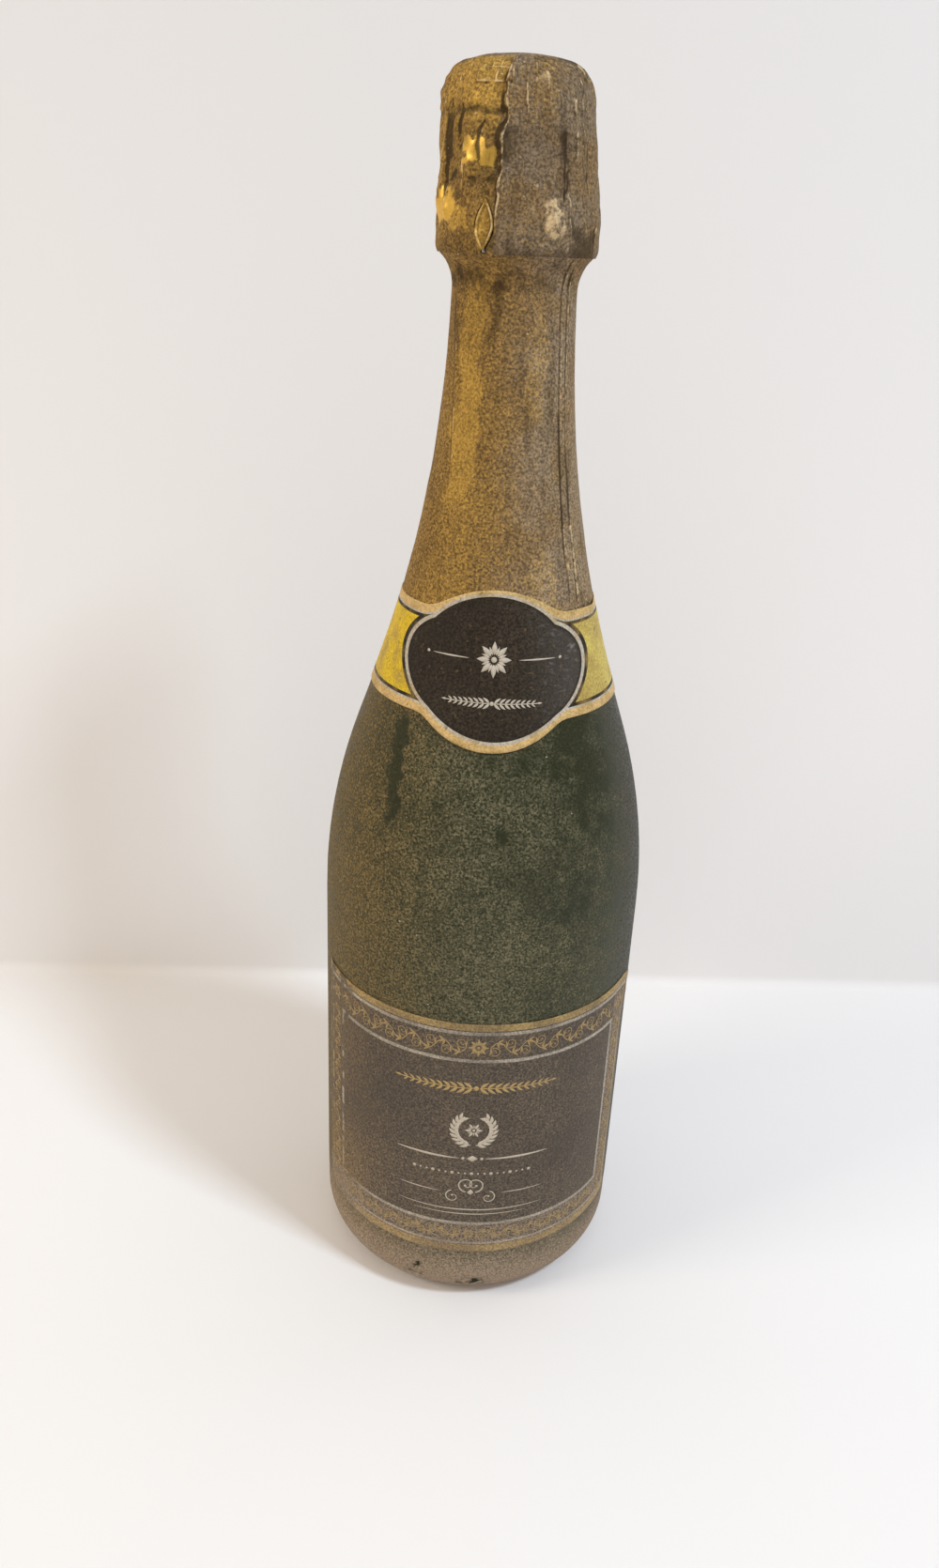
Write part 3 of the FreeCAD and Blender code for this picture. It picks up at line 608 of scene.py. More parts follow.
def sweep_paper(settings):
    """The sweep's plain paper, with painted shade that makes it a little darker high up, and see-through from
    behind.
    """
    finish = Finish("sweep_paper")
    paper = finish.mix(finish.noise(800.0, 3.0, 1.0), toned(settings.paper, 0.985), settings.paper)
    # Painted shade: the paper gets darker high up
    paper = finish.mix(finish.height.span(0.1, 0.5), paper, toned(settings.paper, 0.78))
    finish.shade(Base_Color=paper, Roughness=0.9)
    behind = finish.add("ShaderNodeNewGeometry").outputs["Backfacing"]
    clear = finish.add("ShaderNodeBsdfTransparent").outputs[0]
    mixed = finish.add("ShaderNodeMixShader", {0: behind, 1: finish.shader.outputs[0], 2: clear})
    finish.feed(finish.tree.nodes["Material Output"].inputs["Surface"], mixed.outputs[0])
    return finish.material


# Mesh building


def dress_node(node, finish):
    """Give a node of the frame its finish."""
    slots = frame["nodes"][node].material_slots
    if not slots:
        raise RuntimeError(f"{node} has no material slot")
    for slot in slots:
        slot.material = finish


def add_object(name, data):
    """A new object in the scene."""
    item = bpy.data.objects.new(name, data)
    bpy.context.scene.collection.objects.link(item)
    return item


def add_sheet(name, points, faces, finish):
    """A new object with a smooth mesh and its finish."""
    mesh = bpy.data.meshes.new(name)
    mesh.from_pydata(points, [], faces)
    mesh.shade_smooth()
    mesh.materials.append(finish)
    return add_object(name, mesh)


def make_piece(name, points, faces, finish, body, slot, *nodes):
    """A smooth mesh that rides on a body and stands for the nodes named."""
    piece = add_sheet(name, points, faces, finish)
    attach(piece, body)
    if nodes:
        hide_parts(*nodes)
    return piece


def thicken(piece, sheet, offset=-1.0):
    """Give a sheet its thickness, inwards unless told otherwise."""
    solid = piece.modifiers.new("sheet", "SOLIDIFY")
    solid.thickness = sheet
    solid.offset = offset
    solid.use_even_offset = True


def paint_points(piece, name, values):
    """Keep one number for each vertex, for the material to read."""
    layer = piece.data.attributes.new(name, "FLOAT", "POINT")
    layer.data.foreach_set("value", values)


def map_points(piece, places):
    """Give the mesh a map named print, from one pair of numbers for each vertex."""
    layer = piece.data.uv_layers.new(name="print")
    for loop in piece.data.loops:
        layer.uv[loop.index].vector = places[loop.vertex_index]


def weld(piece):
    """Join vertices that lie on each other."""
    work = bmesh.new()
    work.from_mesh(piece.data)
    bmesh.ops.remove_doubles(work, verts=work.verts, dist=1e-7)
    work.to_mesh(piece.data)
    work.free()


def quads(columns, rows, closed):
    """Faces of a sheet whose points run up each column in turn; a closed one joins its last column."""
    faces = []
    for column in range(columns if closed else columns - 1):
        here = column * rows
        there = (column + 1) % columns * rows
        for row in range(rows - 1):
            faces.append((here + row, there + row, there + row + 1, here + row + 1))
    return faces


def round_about(radius, turn, height):
    """A point at an angle round the bottle's axis: 0 in front, positive to the right."""
    return Vector((radius * math.sin(turn), -radius * math.cos(turn), height))


def unit(turn):
    """One step on the flat, at an angle from level."""
    return Vector((math.cos(turn), math.sin(turn)))


def chord(line, number):
    """The way from the point before one of a line to the point after it."""
    return line[min(number + 1, len(line) - 1)] - line[max(number - 1, 0)]


def smooth_line(corners, steps):
    """Points on a smooth curve through corners, each a pair of numbers."""
    padded = [corners[0], *corners, corners[-1]]
    line = []
    for before, start, end, after in zip(padded, padded[1:], padded[2:], padded[3:]):
        before, start, end, after = (Vector(point) for point in (before, start, end, after))
        for step in range(steps):
            t = step / steps
            bend = (2 * before - 5 * start + 4 * end - after) * t**2
            twist = (3 * start - before - 3 * end + after) * t**3
            line.append((2 * start + (end - before) * t + bend + twist) / 2)
    line.append(Vector(corners[-1]))
    return line


def line_normals(line):
    """The outward normal at each point of a line that runs up or inwards."""
    normals = []
    for number in range(len(line)):
        along = chord(line, number)
        normals.append(Vector((along.y, -along.x)).normalized())
    return normals


def tube(line, radius, sides, points, faces):
    """Add a round wire along a line of points, with its ends closed."""
    start = len(points)
    side = (line[1] - line[0]).orthogonal().normalized()
    for number, place in enumerate(line):
        along = chord(line, number).normalized()
        side = (side - along * side.dot(along)).normalized()
        other = along.cross(side)
        for step in range(sides):
            turn = math.tau * step / sides
            points.append(place + (side * math.cos(turn) + other * math.sin(turn)) * radius)
    for ring in range(len(line) - 1):
        low = start + ring * sides
        for step in range(sides):
            after = (step + 1) % sides
            faces.append((low + step, low + after, low + sides + after, low + sides + step))
    last = start + (len(line) - 1) * sides
    faces.append(tuple(range(start + sides - 1, start - 1, -1)))
    faces.append(tuple(range(last, last + sides)))


def rounded_run(corners, rounds, step):
    """Points along straight runs joined by arcs of the radii given."""
    line = [Vector(corners[0])]
    for before, corner, after, radius in zip(corners, corners[1:], corners[2:], rounds):
        corner = Vector(corner)
        back = (Vector(before) - corner).normalized()
        ahead = (Vector(after) - corner).normalized()
        half = back.angle(ahead) / 2
        setback = radius / math.tan(half)
        centre = corner + (back + ahead).normalized() * (radius / math.sin(half))
        first = corner + back * setback - centre
        last = corner + ahead * setback - centre
        count = max(2, round(first.angle(last) * radius / step))
        for number in range(count + 1):
            spoke = first.lerp(last, number / count).normalized() * radius
            line.append(centre + spoke)
    line.append(Vector(corners[-1]))
    spaced = [line[0]]
    for start, end in zip(line, line[1:]):
        count = max(1, round((end - start).length / step))
        spaced.extend(start.lerp(end, (number + 1) / count) for number in range(count))
    return spaced


# The glass's outline, which the neck foil and the collar follow


def glass_radius(settings, height):
    """The radius of the glass's outside on the body, the shoulder or the neck."""
    body_radius = GLASS_HIGH.x
    lean = settings.shoulder_slope
    rounds = settings.shoulder_round + settings.neck_round
    fall = body_radius - settings.neck_radius - rounds * (1 - math.cos(lean))
    neck_start = settings.body_top + rounds * math.sin(lean) + fall / math.tan(lean)
    slope_low = settings.body_top + settings.shoulder_round * math.sin(lean)
    slope_high = neck_start - settings.neck_round * math.sin(lean)
    if height <= settings.body_top:
        return body_radius
    if height <= slope_low:
        reach = settings.shoulder_round
        return body_radius - reach + math.sqrt(reach**2 - (height - settings.body_top) ** 2)
    if height <= slope_high:
        low_radius = body_radius - settings.shoulder_round * (1 - math.cos(lean))
        return low_radius - (height - slope_low) * math.tan(lean)
    if height <= neck_start:
        reach = settings.neck_round
        return settings.neck_radius + reach - math.sqrt(reach**2 - (neck_start - height) ** 2)
    return settings.neck_radius


def skin_radius(settings, height, out):
    """The radius of a skin that stands out from the glass by a distance."""
    reach = 0.5 * MM
    rise = glass_radius(settings, height + reach) - glass_radius(settings, height - reach)
    return glass_radius(settings, height) + out * math.hypot(1.0, rise / (2 * reach))


# The tear tab's leaf shape, which the hood's opening and the wire loop share


def loop_frame():
    """The loop's own axes: origin at the fold, X outwards, Y along the hinge, Z along the loop."""
    hinge = Vector(JOINTS["loop_lift"]["axis"]).normalized()
    along = Vector(JOINTS["loop_twist"]["axis"]).normalized()
    matrix = Matrix((hinge.cross(along), hinge, along)).transposed().to_4x4()
    matrix.translation = Vector(JOINTS["loop_lift"]["pos_m"])
    return matrix


def loop_turn():
    """The loop's angle round the bottle."""
    fold = Vector(JOINTS["loop_lift"]["pos_m"])
    return math.atan2(fold.x, -fold.y)


def leaf_width(settings, along):
    """Half the leaf's width at a distance along the loop from the fold."""
    share = along / settings.leaf_length
    if not 0.0 < share < 1.0:
        return 0.0
    return settings.leaf_half * math.sin(math.pi * share**0.92) ** 0.95


# Where the foil is rubbed bare: turn and half a width in degrees, lower and upper height in mm, share
HOOD_BARE = (
    (-50, 34, 284, 321, 0.15),
    (-45, 24, 306, 318, 0.3),
    (-41, 4, 300.5, 304, 0.85),
    (-33, 5, 298, 303.5, 0.95),
    (-25, 4, 297, 301, 0.9),
    (-19, 2, 298, 300.8, 0.7),
    (-77, 5, 289, 295.5, 0.95),
    (-61, 6, 287, 293.5, 0.95),
    (-46, 6, 284, 289, 0.45),
    (18, 9, 307, 318, 0.2),
    (150, 20, 284, 300, 0.3),
    (205, 12, 300, 316, 0.3),
)
NECK_BARE = (
    (-36, 9, 226, 274, 0.3),
    (-36, 12, 200, 232, 0.1),
    (24, 5, 246, 270, 0.2),
    (30, 6, 198, 216, 0.22),
    (140, 9, 215, 262, 0.35),
)
TAB_BARE = ((-22.6, 9, 280, 292, 0.2),)

# Creases of the hood: angle in degrees, lower and upper height, depth and width in mm.
# A positive depth stands out to the right of the crease, a negative one falls in.
HOOD_CREASES = (
    (-14, 282, 318.5, 0.75, 0.9),
    (-17.5, 296, 318, -0.5, 0.9),
    (-30, 296, 309, -0.35, 1.8),
    (-43, 292, 304, 0.6, 2.6),
    (-50, 300, 310, -0.9, 1.1),
    (-60, 286, 296, 0.55, 1.8),
    (-64, 291, 311, -1.1, 1.3),
    (-71, 287, 313, 0.6, 0.8),
    (-79, 285, 306, -0.6, 1.5),
    (3, 305, 318, 0.45, 0.7),
    (10, 311, 318, -0.3, 0.8),
    (25, 283, 293, 0.5, 2.4),
    (33.5, 291, 305, -0.95, 1.3),
    (37, 281, 294, 0.65, 0.6),
    (43, 298, 318, 0.5, 0.7),
    (52, 301, 317, 0.4, 0.6),
    (58, 292, 305, -0.5, 1.3),
    (66, 281, 292, 0.6, 0.9),
    (78, 288, 312, -0.5, 1.6),
)
BACK_CREASES = 16

# Soft facets of the hood that catch the light: turn and half a width in degrees, lower and upper height,
# how far the lower edge stands out and how far the left edge does, in mm
HOOD_FACETS = (
    (-32, 17, 295, 304.5, 1.9, 0.5),
    (-60, 20, 286.5, 295, 1, 1.2),
    (27, 12, 283, 294, 1.2, -0.2),
    (130, 22, 289, 300, 1, 0.4),
    (172, 20, 297, 308, 1, -0.4),
    (218, 20, 286, 297, 1, 0.4),
)

# Painted highlights on the hood and the neck foil, and where they are darkened, as painted shade under the
# hood's rim and in dents and partly as dirty foil: turn and half a width in degrees, lower and upper height
# in mm, and share
HOOD_HIGHLIGHTS = (
    (26, 9, 283.5, 292.5, 1.2),
    (12, 9, 287, 293, 0.55),
    (16, 8, 311, 317, 0.6),
    (62, 3, 281.5, 289.5, 0.8),
    (64, 3, 296.5, 300.5, 0.7),
    (160, 9, 285, 293, 0.8),
)
HOOD_SHADE_AND_DIRT = (
    (-62, 6, 298, 308, 0.8),
    (-54, 5, 293, 299.5, 0.9),
    (-66, 5, 285.5, 289.5, 0.8),
    (-47, 4, 290.5, 294, 0.7),
    (-45, 28, 278, 286.5, 0.4),
    (33, 4, 298, 305, 0.6),
    (38, 3, 292, 299, 0.7),
    (52, 16, 277, 288, 0.6),
    (15, 24, 277, 284, 0.4),
    (12, 30, 298, 307.5, 0.3),
    (120, 14, 290, 300, 0.4),
    (200, 12, 292, 304, 0.4),
    (240, 12, 286, 297, 0.4),
)
NECK_HIGHLIGHTS = (
    (24, 8, 244, 271, 0.45),
    (30, 12, 201, 219, 0.5),
    (58, 10, 202, 226, 0.4),
    (150, 10, 214, 240, 0.5),
)
NECK_SHADE_AND_DIRT = (
    (-45, 34, 260, 279, 0.28),
    (10, 34, 262, 279, 0.22),
    (48, 8, 222, 250, 0.35),
    (120, 20, 240, 268, 0.35),
    (215, 20, 220, 262, 0.35),
)

# The hood bulges to the left: height and how far, in mm
HOOD_BULGE = ((285, 0), (294, 0.5), (302, 1.4), (308, 2.2), (312, 2.8), (317, 2.8), (320.2, 2.2))

# Heights on the hood in mm: where the foil is loose, the darker band round its top, the legs of the cage
# under it, the raised lip round the tab's opening, the groove under the cork's head, the pressed rim, and the
# upper end of the pleats
HOOD_LOOSE = (285, 321)
HOOD_BAND = (317, 319.7)
HOOD_LEGS = (280, 315)
HOOD_LIP = (279, 292.5)
HOOD_GROOVE = 308.2
HOOD_PRESSED = 282.5
PLEAT_TOP = 319

# The more crumpled left side of the hood, from one turn to another in degrees
HOOD_LEFT = (-95, -12)

# The folded tuck near the hood's top: its turn in degrees, half its width, its lower and upper edge in mm
TUCK_TURN, TUCK_HALF, TUCK_LOW, TUCK_HIGH = -24, 4.2, 313.2, 316.6


def hood_creases():
    """The creases seen in front, and others drawn by lot for the back."""
    lot = random.Random(11)
    creases = list(HOOD_CREASES)
    for number in range(BACK_CREASES):
        turn = 95.0 + 170.0 * (number + lot.random()) / BACK_CREASES
        low = lot.uniform(283.0, 300.0)
        high = low + lot.uniform(8.0, 20.0)
        depth = lot.uniform(0.3, 0.6) * lot.choice((-1, 1))
        creases.append((turn, low, high, depth, lot.uniform(0.8, 2.0)))
    return creases


def hood_pleats(settings):
    """The pleats of the hood's top edge, drawn by lot: angle, then depth, width and foot's height in mm."""
    lot = random.Random(5)
    pleats = []
    for number in range(settings.pleats):
        turn = 360.0 * (number + lot.uniform(-0.4, 0.4)) / settings.pleats
        depth = settings.pleat_depth / MM * lot.uniform(0.3, 1.0)
        pleats.append((turn, depth, lot.uniform(0.5, 1.1), lot.uniform(308.0, 315.0)))
    return pleats


def turn_between(first, second):
    """The signed angle from one turn to another, in degrees."""
    return (first - second + 180.0) % 360.0 - 180.0


def fade_between(value, low, high, soft):
    """1 between low and high, falling to 0 over soft at each end."""
    rise = min(1.0, max(0.0, (value - low) / soft))
    drop = min(1.0, max(0.0, (high - value) / soft))
    return rise * drop


def hump(away, width):
    """1 in the middle, falling off smoothly to both sides."""
    return math.exp(-((away / width) ** 2))


def step_between(stops, value):
    """The value between stops, each a place and its value, in a straight line from one to the next."""
    for (low, first), (high, second) in zip(stops, stops[1:]):
        if low <= value <= high:
            return first + (second - first) * (value - low) / (high - low)
    return 0.0


class Spot:
    """A place on the foil: its turn in degrees, its height and the length of one degree in mm."""

    def __init__(self, radius, turn, height):
        self.place = round_about(radius, turn, height)
        self.degrees = math.degrees(turn)
        self.up = height / MM
        self.arc = math.radians(radius / MM)

    def away(self, degrees):
        """How far the spot lies to the right of a turn, in mm."""
        return turn_between(self.degrees, degrees) * self.arc

    def rough(self, level, upright=None):
        """Noise at the spot, with the same scale upright as level or another."""
        x, y, z = self.place
        return noise.noise(Vector((x * level, y * level, z * (upright or level))))


def patch_share(patches, spot, ragged):
    """How strongly some patches show at a spot, with ragged edges."""
    total = 0.0
    for turn, half, low, high, share in patches:
        wide = fade_between(turn_between(spot.degrees, turn) + 6 * ragged, -half, half, 4.0)
        total += share * wide * fade_between(spot.up - 2.5 * ragged, low, high, 2.5)
    return total


def foil_line(away, width, sharp):
    """The height of a crease: steep on its left, falling off over its width on its right."""
    return math.exp(-abs(away) / (width if away > 0 else sharp))


def hollows(heights, columns, rows):
    """How far each point of a closed sheet stands above its neighbours or, negative, below them."""
    result = []
    for column in range(columns):
        here = column * rows
        left = (column - 1) % columns * rows
        right = (column + 1) % columns * rows
        for row in range(rows):
            low = heights[here + max(row - 1, 0)]
            high = heights[here + min(row + 1, rows - 1)]
            around = (heights[left + row] + heights[right + row] + low + high) / 4
            result.append(heights[here + row] - around)
    return result


def paint_wear_and_light(piece, heights, rubs_and_highlights, soils_and_shade, columns, rows):
    """Lighten the ridges of a crumpled sheet, as rubbed foil and as painted highlight, and darken its
    hollows, as dirty foil and as painted shade.
    """
    proud = hollows(heights, columns, rows)
    # Convex points get a painted highlight and hollow ones painted shade, besides their wear and dirty foil
    polish_and_highlight, soiling_and_shade = 6.0, 10.0
    paint_points(piece, "ridge", [rub_and_highlight + polish_and_highlight * max(0.0, high) for rub_and_highlight, high in zip(rubs_and_highlights, proud)])
    paint_points(piece, "crease", [soil_and_shade + soiling_and_shade * max(0.0, -high) for soil_and_shade, high in zip(soils_and_shade, proud)])


def hood_facets(spot, wander):
    """How far the soft facets stand out at a spot, in mm, and how much of them is there."""
    tilted = smooth = 0.0
    for turn, half, low, high, tilt, lean in HOOD_FACETS:
        aside = turn_between(spot.degrees, turn) / half
        rise = 2 * (spot.up + 0.6 * wander - low) / (high - low) - 1
        if abs(aside) < 1 and abs(rise) < 1:
            window = (math.cos(math.pi / 2 * aside) * math.cos(math.pi / 2 * rise)) ** 1.2
            tilted += window * (tilt * (1 - rise) / 2 - lean * aside / 2)
            smooth = max(smooth, window)
    return tilted, smooth


def hood_relief(settings, creases, pleats, spot):
    """The crumpled foil at one spot: how far it stands out in mm, how much it is lightened by rubbing and
    painted highlights, and how much it is darkened by dirty foil and painted shade.
    """
    up = spot.up
    broken = spot.rough(420.0)
    wander = 1.1 * spot.rough(150.0) + 0.5 * broken
    free = fade_between(up, *HOOD_LOOSE, 5.0)
    left = fade_between(turn_between(spot.degrees, 0.0), *HOOD_LEFT, 5.0)
    tilted, smooth = hood_facets(spot, wander)
    strength = settings.crumple / MM * free * (0.65 + 0.65 * left) * (1 - 0.85 * smooth)
    relief = strength * (0.5 - 2.1 * abs(spot.rough(115.0, 85.0)))
    relief += strength * 0.6 * (0.4 - 1.6 * abs(spot.rough(340.0, 250.0)))
    relief += 0.35 * free * (1 - smooth) * spot.rough(60.0) + tilted
    # Pale patches are painted highlights; dark ones are painted shade under the rim and in dents, partly
    # dirty foil
    rub_and_highlight = patch_share(HOOD_HIGHLIGHTS, spot, 0.5 * wander)
    dirt_and_shade = patch_share(HOOD_SHADE_AND_DIRT, spot, wander)
    # A darker band round the top
    dirt_and_shade += 0.75 * fade_between(up, *HOOD_BAND, 1.2) * (0.75 + 0.9 * wander)
    dirt_and_shade += max(0.0, 0.5 * spot.rough(90.0))
    # A crease that stands out gets a painted highlight along it, one that falls in gets painted shade
    for crease_turn, low, high, depth, width in creases:
        away = spot.away(crease_turn) + wander
        if abs(away) < 5.0 * width:
            reach = fade_between(up, low, high, 3.0)
            line = hump(away, 0.3) * reach * max(0.0, 0.6 + 1.8 * broken)
            relief += depth * reach * foil_line(away, width, 0.35)
            rub_and_highlight += line * max(0.0, depth) * 1.6
            dirt_and_shade += line * max(0.0, -depth) * 1.8
    # Each pleat gets a painted highlight along it
    for pleat_turn, depth, width, foot in pleats:
        away = spot.away(pleat_turn) + 0.5 * wander
        if abs(away) < 5.0 * width:
            reach = fade_between(up, foot, PLEAT_TOP, 2.0)
            relief += depth * reach * foil_line(away, width, 0.2)
            rub_and_highlight += hump(away, 0.2) * reach * depth * max(0.0, 1.0 + 4.0 * broken)
    # The tuck gets a painted highlight along its two edges
    tuck = fade_between(spot.away(TUCK_TURN), -TUCK_HALF, TUCK_HALF, 0.35)
    relief += 0.4 * tuck * fade_between(up, TUCK_LOW + 0.2 * broken, TUCK_HIGH, 0.35)
    rub_and_highlight += 0.7 * tuck * (hump(up - TUCK_HIGH + 0.2, 0.3) + hump(up - TUCK_LOW - 0.4, 0.3))
    # The groove gets painted shade in it
    groove = hump(up - HOOD_GROOVE + 0.6 * broken, 1.1) * (0.4 + 0.6 * left)
    relief -= 0.25 * groove
    dirt_and_shade += 0.3 * groove
    quarter = turn_between(LEGS * (spot.degrees - math.degrees(loop_turn())), 180.0) / LEGS
    leg = hump(quarter * spot.arc, 1.1) * fade_between(up, *HOOD_LEGS, 4.0)
    return max(relief + 0.25 * leg, 0.35 * leg - 0.45), rub_and_highlight, dirt_and_shade


# Ornament printed on the labels


class Ink:
    """Flat printed strokes in a label's own millimetres, across and up."""

    def __init__(self):
        self.points = []
        self.faces = []

    def stroke(self, line, widths):
        """A band along a line of points, as wide at each as widths says."""
        start = len(self.points)
        for number, place in enumerate(line):
            along = chord(line, number).normalized()
            side = Vector((-along.y, along.x)) * max(widths[number], 0.02) / 2
            self.points.extend((place + side, place - side))
        for number in range(len(line) - 1):
            low = start + 2 * number
            self.faces.append((low, low + 1, low + 3, low + 2))

    def leaf(self, base, heading, length, width, bend=0.0):
        """A pointed leaf that leaves its base at a heading and bends on its way."""
        steps = 7
        line = [Vector(base)]
        for step in range(steps):
            turn = heading + bend * step / steps
            line.append(line[-1] + unit(turn) * length / steps)
        shares = [number / steps for number in range(steps + 1)]
        self.stroke(line, [width * math.sin(math.pi * share**0.8) for share in shares])

    def bead(self, centre, radius):
        """A round dot."""
        shares = [math.sin(math.pi * (step / 8 - 0.5)) for step in range(9)]
        line = [Vector(centre) + Vector((radius * share, 0.0)) for share in shares]
        self.stroke(line, [2 * radius * math.sqrt(max(0.0, 1 - share**2)) for share in shares])

    def lozenge(self, centre, half, height):
        """A diamond."""
        centre = Vector(centre)
        line = [centre + Vector((half * step, 0.0)) for step in (-1.0, 0.0, 1.0)]
        self.stroke(line, [0.0, height, 0.0])

    def rule(self, centre, half, width):
        """A level rule that tapers to both ends."""
        steps = 36
        shares = [2 * step / steps - 1 for step in range(steps + 1)]
        line = [Vector(centre) + Vector((half * share, 0.0)) for share in shares]
        self.stroke(line, [width * (1 - abs(share)) ** 0.5 for share in shares])

    def divider(self, centre, half, width):
        """A lozenge with a bead and a tapering rule to each side."""
        centre = Vector(centre)
        self.lozenge(centre, 1.5, 2.2)
        for side in (-1, 1):
            self.bead(centre + Vector((side * 2.6, 0.0)), 0.45)
            self.rule(centre + Vector((side * (3.6 + half / 2), 0.0)), half / 2, width)

    def curl(self, start, heading, radius, turns, side, width):
        """A tapering stroke that winds inwards, to the left of its heading or, with side -1, to the right."""
        steps = 26
        line = [Vector(start)]
        bend = side * math.tau * turns / steps
        for step in range(steps):
            turn = heading + bend * (step + 0.5)
            reach = radius * (1 - 0.82 * step / steps) * abs(bend)
            line.append(line[-1] + unit(turn) * reach)
        self.stroke(line, [width * (1 - 0.6 * number / steps) for number in range(steps + 1)])
        self.bead(line[-1], width * 0.9)

    def scroll(self, start, end, height, wave):
        """A leafy scroll along a straight strip: a wavy stem with a curled shoot and leaves in each bend."""
        start = Vector(start)
        along = Vector(end) - start
        length = along.length
        along.normalize()
        across = Vector((-along.y, along.x))
        heading = math.atan2(along.y, along.x)
        swing = height * 0.27
        count = round(length / 0.5)
        line = []
        for step in range(count + 1):
            run = length * step / count
            line.append(start + along * run + across * swing * math.sin(math.tau * run / wave))
        self.stroke(line, [0.26] * len(line))
        for number in range(round(2 * length / wave)):
            side = 1 if number % 2 == 0 else -1
            root = start + along * wave * number / 2
            crest = root + along * wave / 4 + across * swing * side
            self.curl(root + along * wave * 0.06, heading + side * 0.35, height * 0.24, 1.35, -side, 0.24)
            for lean, size in ((20, 0.3), (-35, 0.38), (-85, 0.34)):
                turn = heading + side * math.radians(lean)
                self.leaf(crest - along * wave * 0.04, turn, height * size, 0.55, side * math.radians(35))
            self.leaf(root, heading - side * math.radians(80), height * 0.36, 0.5, -side * math.radians(40))

    def garland(self, centre, half, size):
        """Pairs of leaves along a level stem, pointing away from the middle, with a bead there."""
        centre = Vector(centre)
        self.bead(centre, size * 0.24)
        count = round(half / (size * 0.72))
        for side in (-1, 1):
            outward = 0.0 if side > 0 else math.pi
            tip = centre + Vector((side * half, 0.0))
            stem = [centre.lerp(tip, 0.04 + 0.94 * step / 30) for step in range(31)]
            self.stroke(stem, [size * 0.1] * len(stem))
            for number in range(count):
                root = centre.lerp(tip, 0.05 + 0.9 * number / count)
                length = size * (1 - 0.45 * number / count)
                for lean in (-0.85, 0.85):
                    self.leaf(root, outward + lean, length, length * 0.3, -lean * 0.5)
            self.leaf(centre.lerp(tip, 0.95), outward, size * 0.6, size * 0.22)

    def wreath(self, centre, radius, pairs):
        """Two leafy branches that meet below and leave a gap above."""
        centre = Vector(centre)
        for side in (-1, 1):
            turns = [math.radians(-90 + side * (8 + 142 * step / 24)) for step in range(25)]
            arc = [centre + unit(turn) * radius for turn in turns]
            self.stroke(arc, [0.3] * len(arc))
            for number in range(pairs):
                turn = math.radians(-90 + side * (14 + 134 * number / pairs))
                root = centre + unit(turn) * radius
                ahead = turn + side * math.pi / 2
                for lean in (-0.65, 0.65):
                    self.leaf(root, ahead + lean, 2.5, 0.95, -lean * 0.5)

    def rosette(self, centre, radius, petals):
        """Petals round a bead, with finer ones between them."""
        centre = Vector(centre)
        self.bead(centre, radius * 0.16)
        for number in range(2 * petals):
            turn = math.pi * number / petals
            out = unit(turn)
            length = radius * (0.74 if number % 2 == 0 else 0.5)
            self.leaf(centre + out * radius * 0.26, turn, length, radius * (0.3 if number % 2 == 0 else 0.14))

    def lay(self, name, place, finish, slot):
        """Lay the strokes on a label: place turns across and up into a point."""
        points = [place(point.x, point.y) for point in self.points]
        piece = make_piece(name, points, self.faces, finish, "bottle", slot)
        thicken(piece, 0.02 * MM, 1.0)
        return piece


# Operators, one for each piece or group of like pieces


class BOTTLE_OT_glass(bpy.types.Operator):
    """Finish the glass and the wine in it"""

    bl_idname = "bottle.glass"
    bl_label = "Glass and wine"

    def execute(self, context):
        settings = context.scene.bottle.glass
        dress_node("glass_bottle", dusty_glass(settings))
        dress_node("wine", clear_wine(settings))
        return {"FINISHED"}


class BOTTLE_OT_stopper(bpy.types.Operator):
    """Finish the cork and its discs, and build the plaque with its pressed rings"""

    bl_idname = "bottle.stopper"
    bl_label = "Cork and plaque"

    def execute(self, context):
        settings = context.scene.bottle.stopper
        dress_node("cork_body", pressed_cork(settings, "pressed_cork", settings.granule, 1.0))
        dress_node("cork_disc_upper", pressed_cork(settings, "cork_disc", settings.granule * 4, 2.0))
        dress_node("cork_disc_lower", pressed_cork(settings, "cork_face", settings.granule * 4, 3.0))
        self.plaque(settings)
        return {"FINISHED"}

    def plaque(self, settings):
        """A domed disc with two pressed rings and a fluted, turned-down edge."""
        columns, rows, skirt_rows, flutes = 144, 60, 6, 36
        radius = CAP_HIGH.x
        skirt = 1.0 * MM
        rise = CAP_HIGH.z - CAP_LOW.z - skirt
        dome = (radius**2 + rise**2) / (2 * rise)
        points = []
        for column in range(columns):
            turn = math.tau * column / columns
            flute = 0.12 * MM * math.cos(flutes * turn)
            for row in range(skirt_rows):
                share = row / skirt_rows
                points.append(round_about(radius + flute * (1 - share), turn, CAP_LOW.z + skirt * share))
            for row in range(rows):
                reach = radius * (1 - row / rows)
                height = CAP_HIGH.z - dome + math.sqrt(dome**2 - reach**2)
                for ring in (4.6, 7.2):
                    height += 0.16 * MM * hump(reach / MM - ring, 0.35)
                points.append(round_about(reach, turn, height))
        faces = quads(columns, skirt_rows + rows, True)
        last = skirt_rows + rows - 1
        faces.append(tuple(column * (last + 1) + last for column in range(columns)))
        piece = make_piece("plaque", points, faces, lacquered_tin(settings), "cage", "tinplate", "crown_cap")
        thicken(piece, settings.plaque_sheet)


# The route of a cage leg, as radius and height in mm, and the rounds of its inner corners
LEG_FOOT = ((15.7, 281.3), (16.98, 281.3), (16.98, 287.5))
LEG_ROUTE = (*LEG_FOOT, (15, 305), (13.65, 312.2), (12.2, 315.7), (10.5, 316.7))
LEG_ROUNDS = (1, 6, 6, 6, 1)
LEGS = 4
WIRE_SIDES = 10


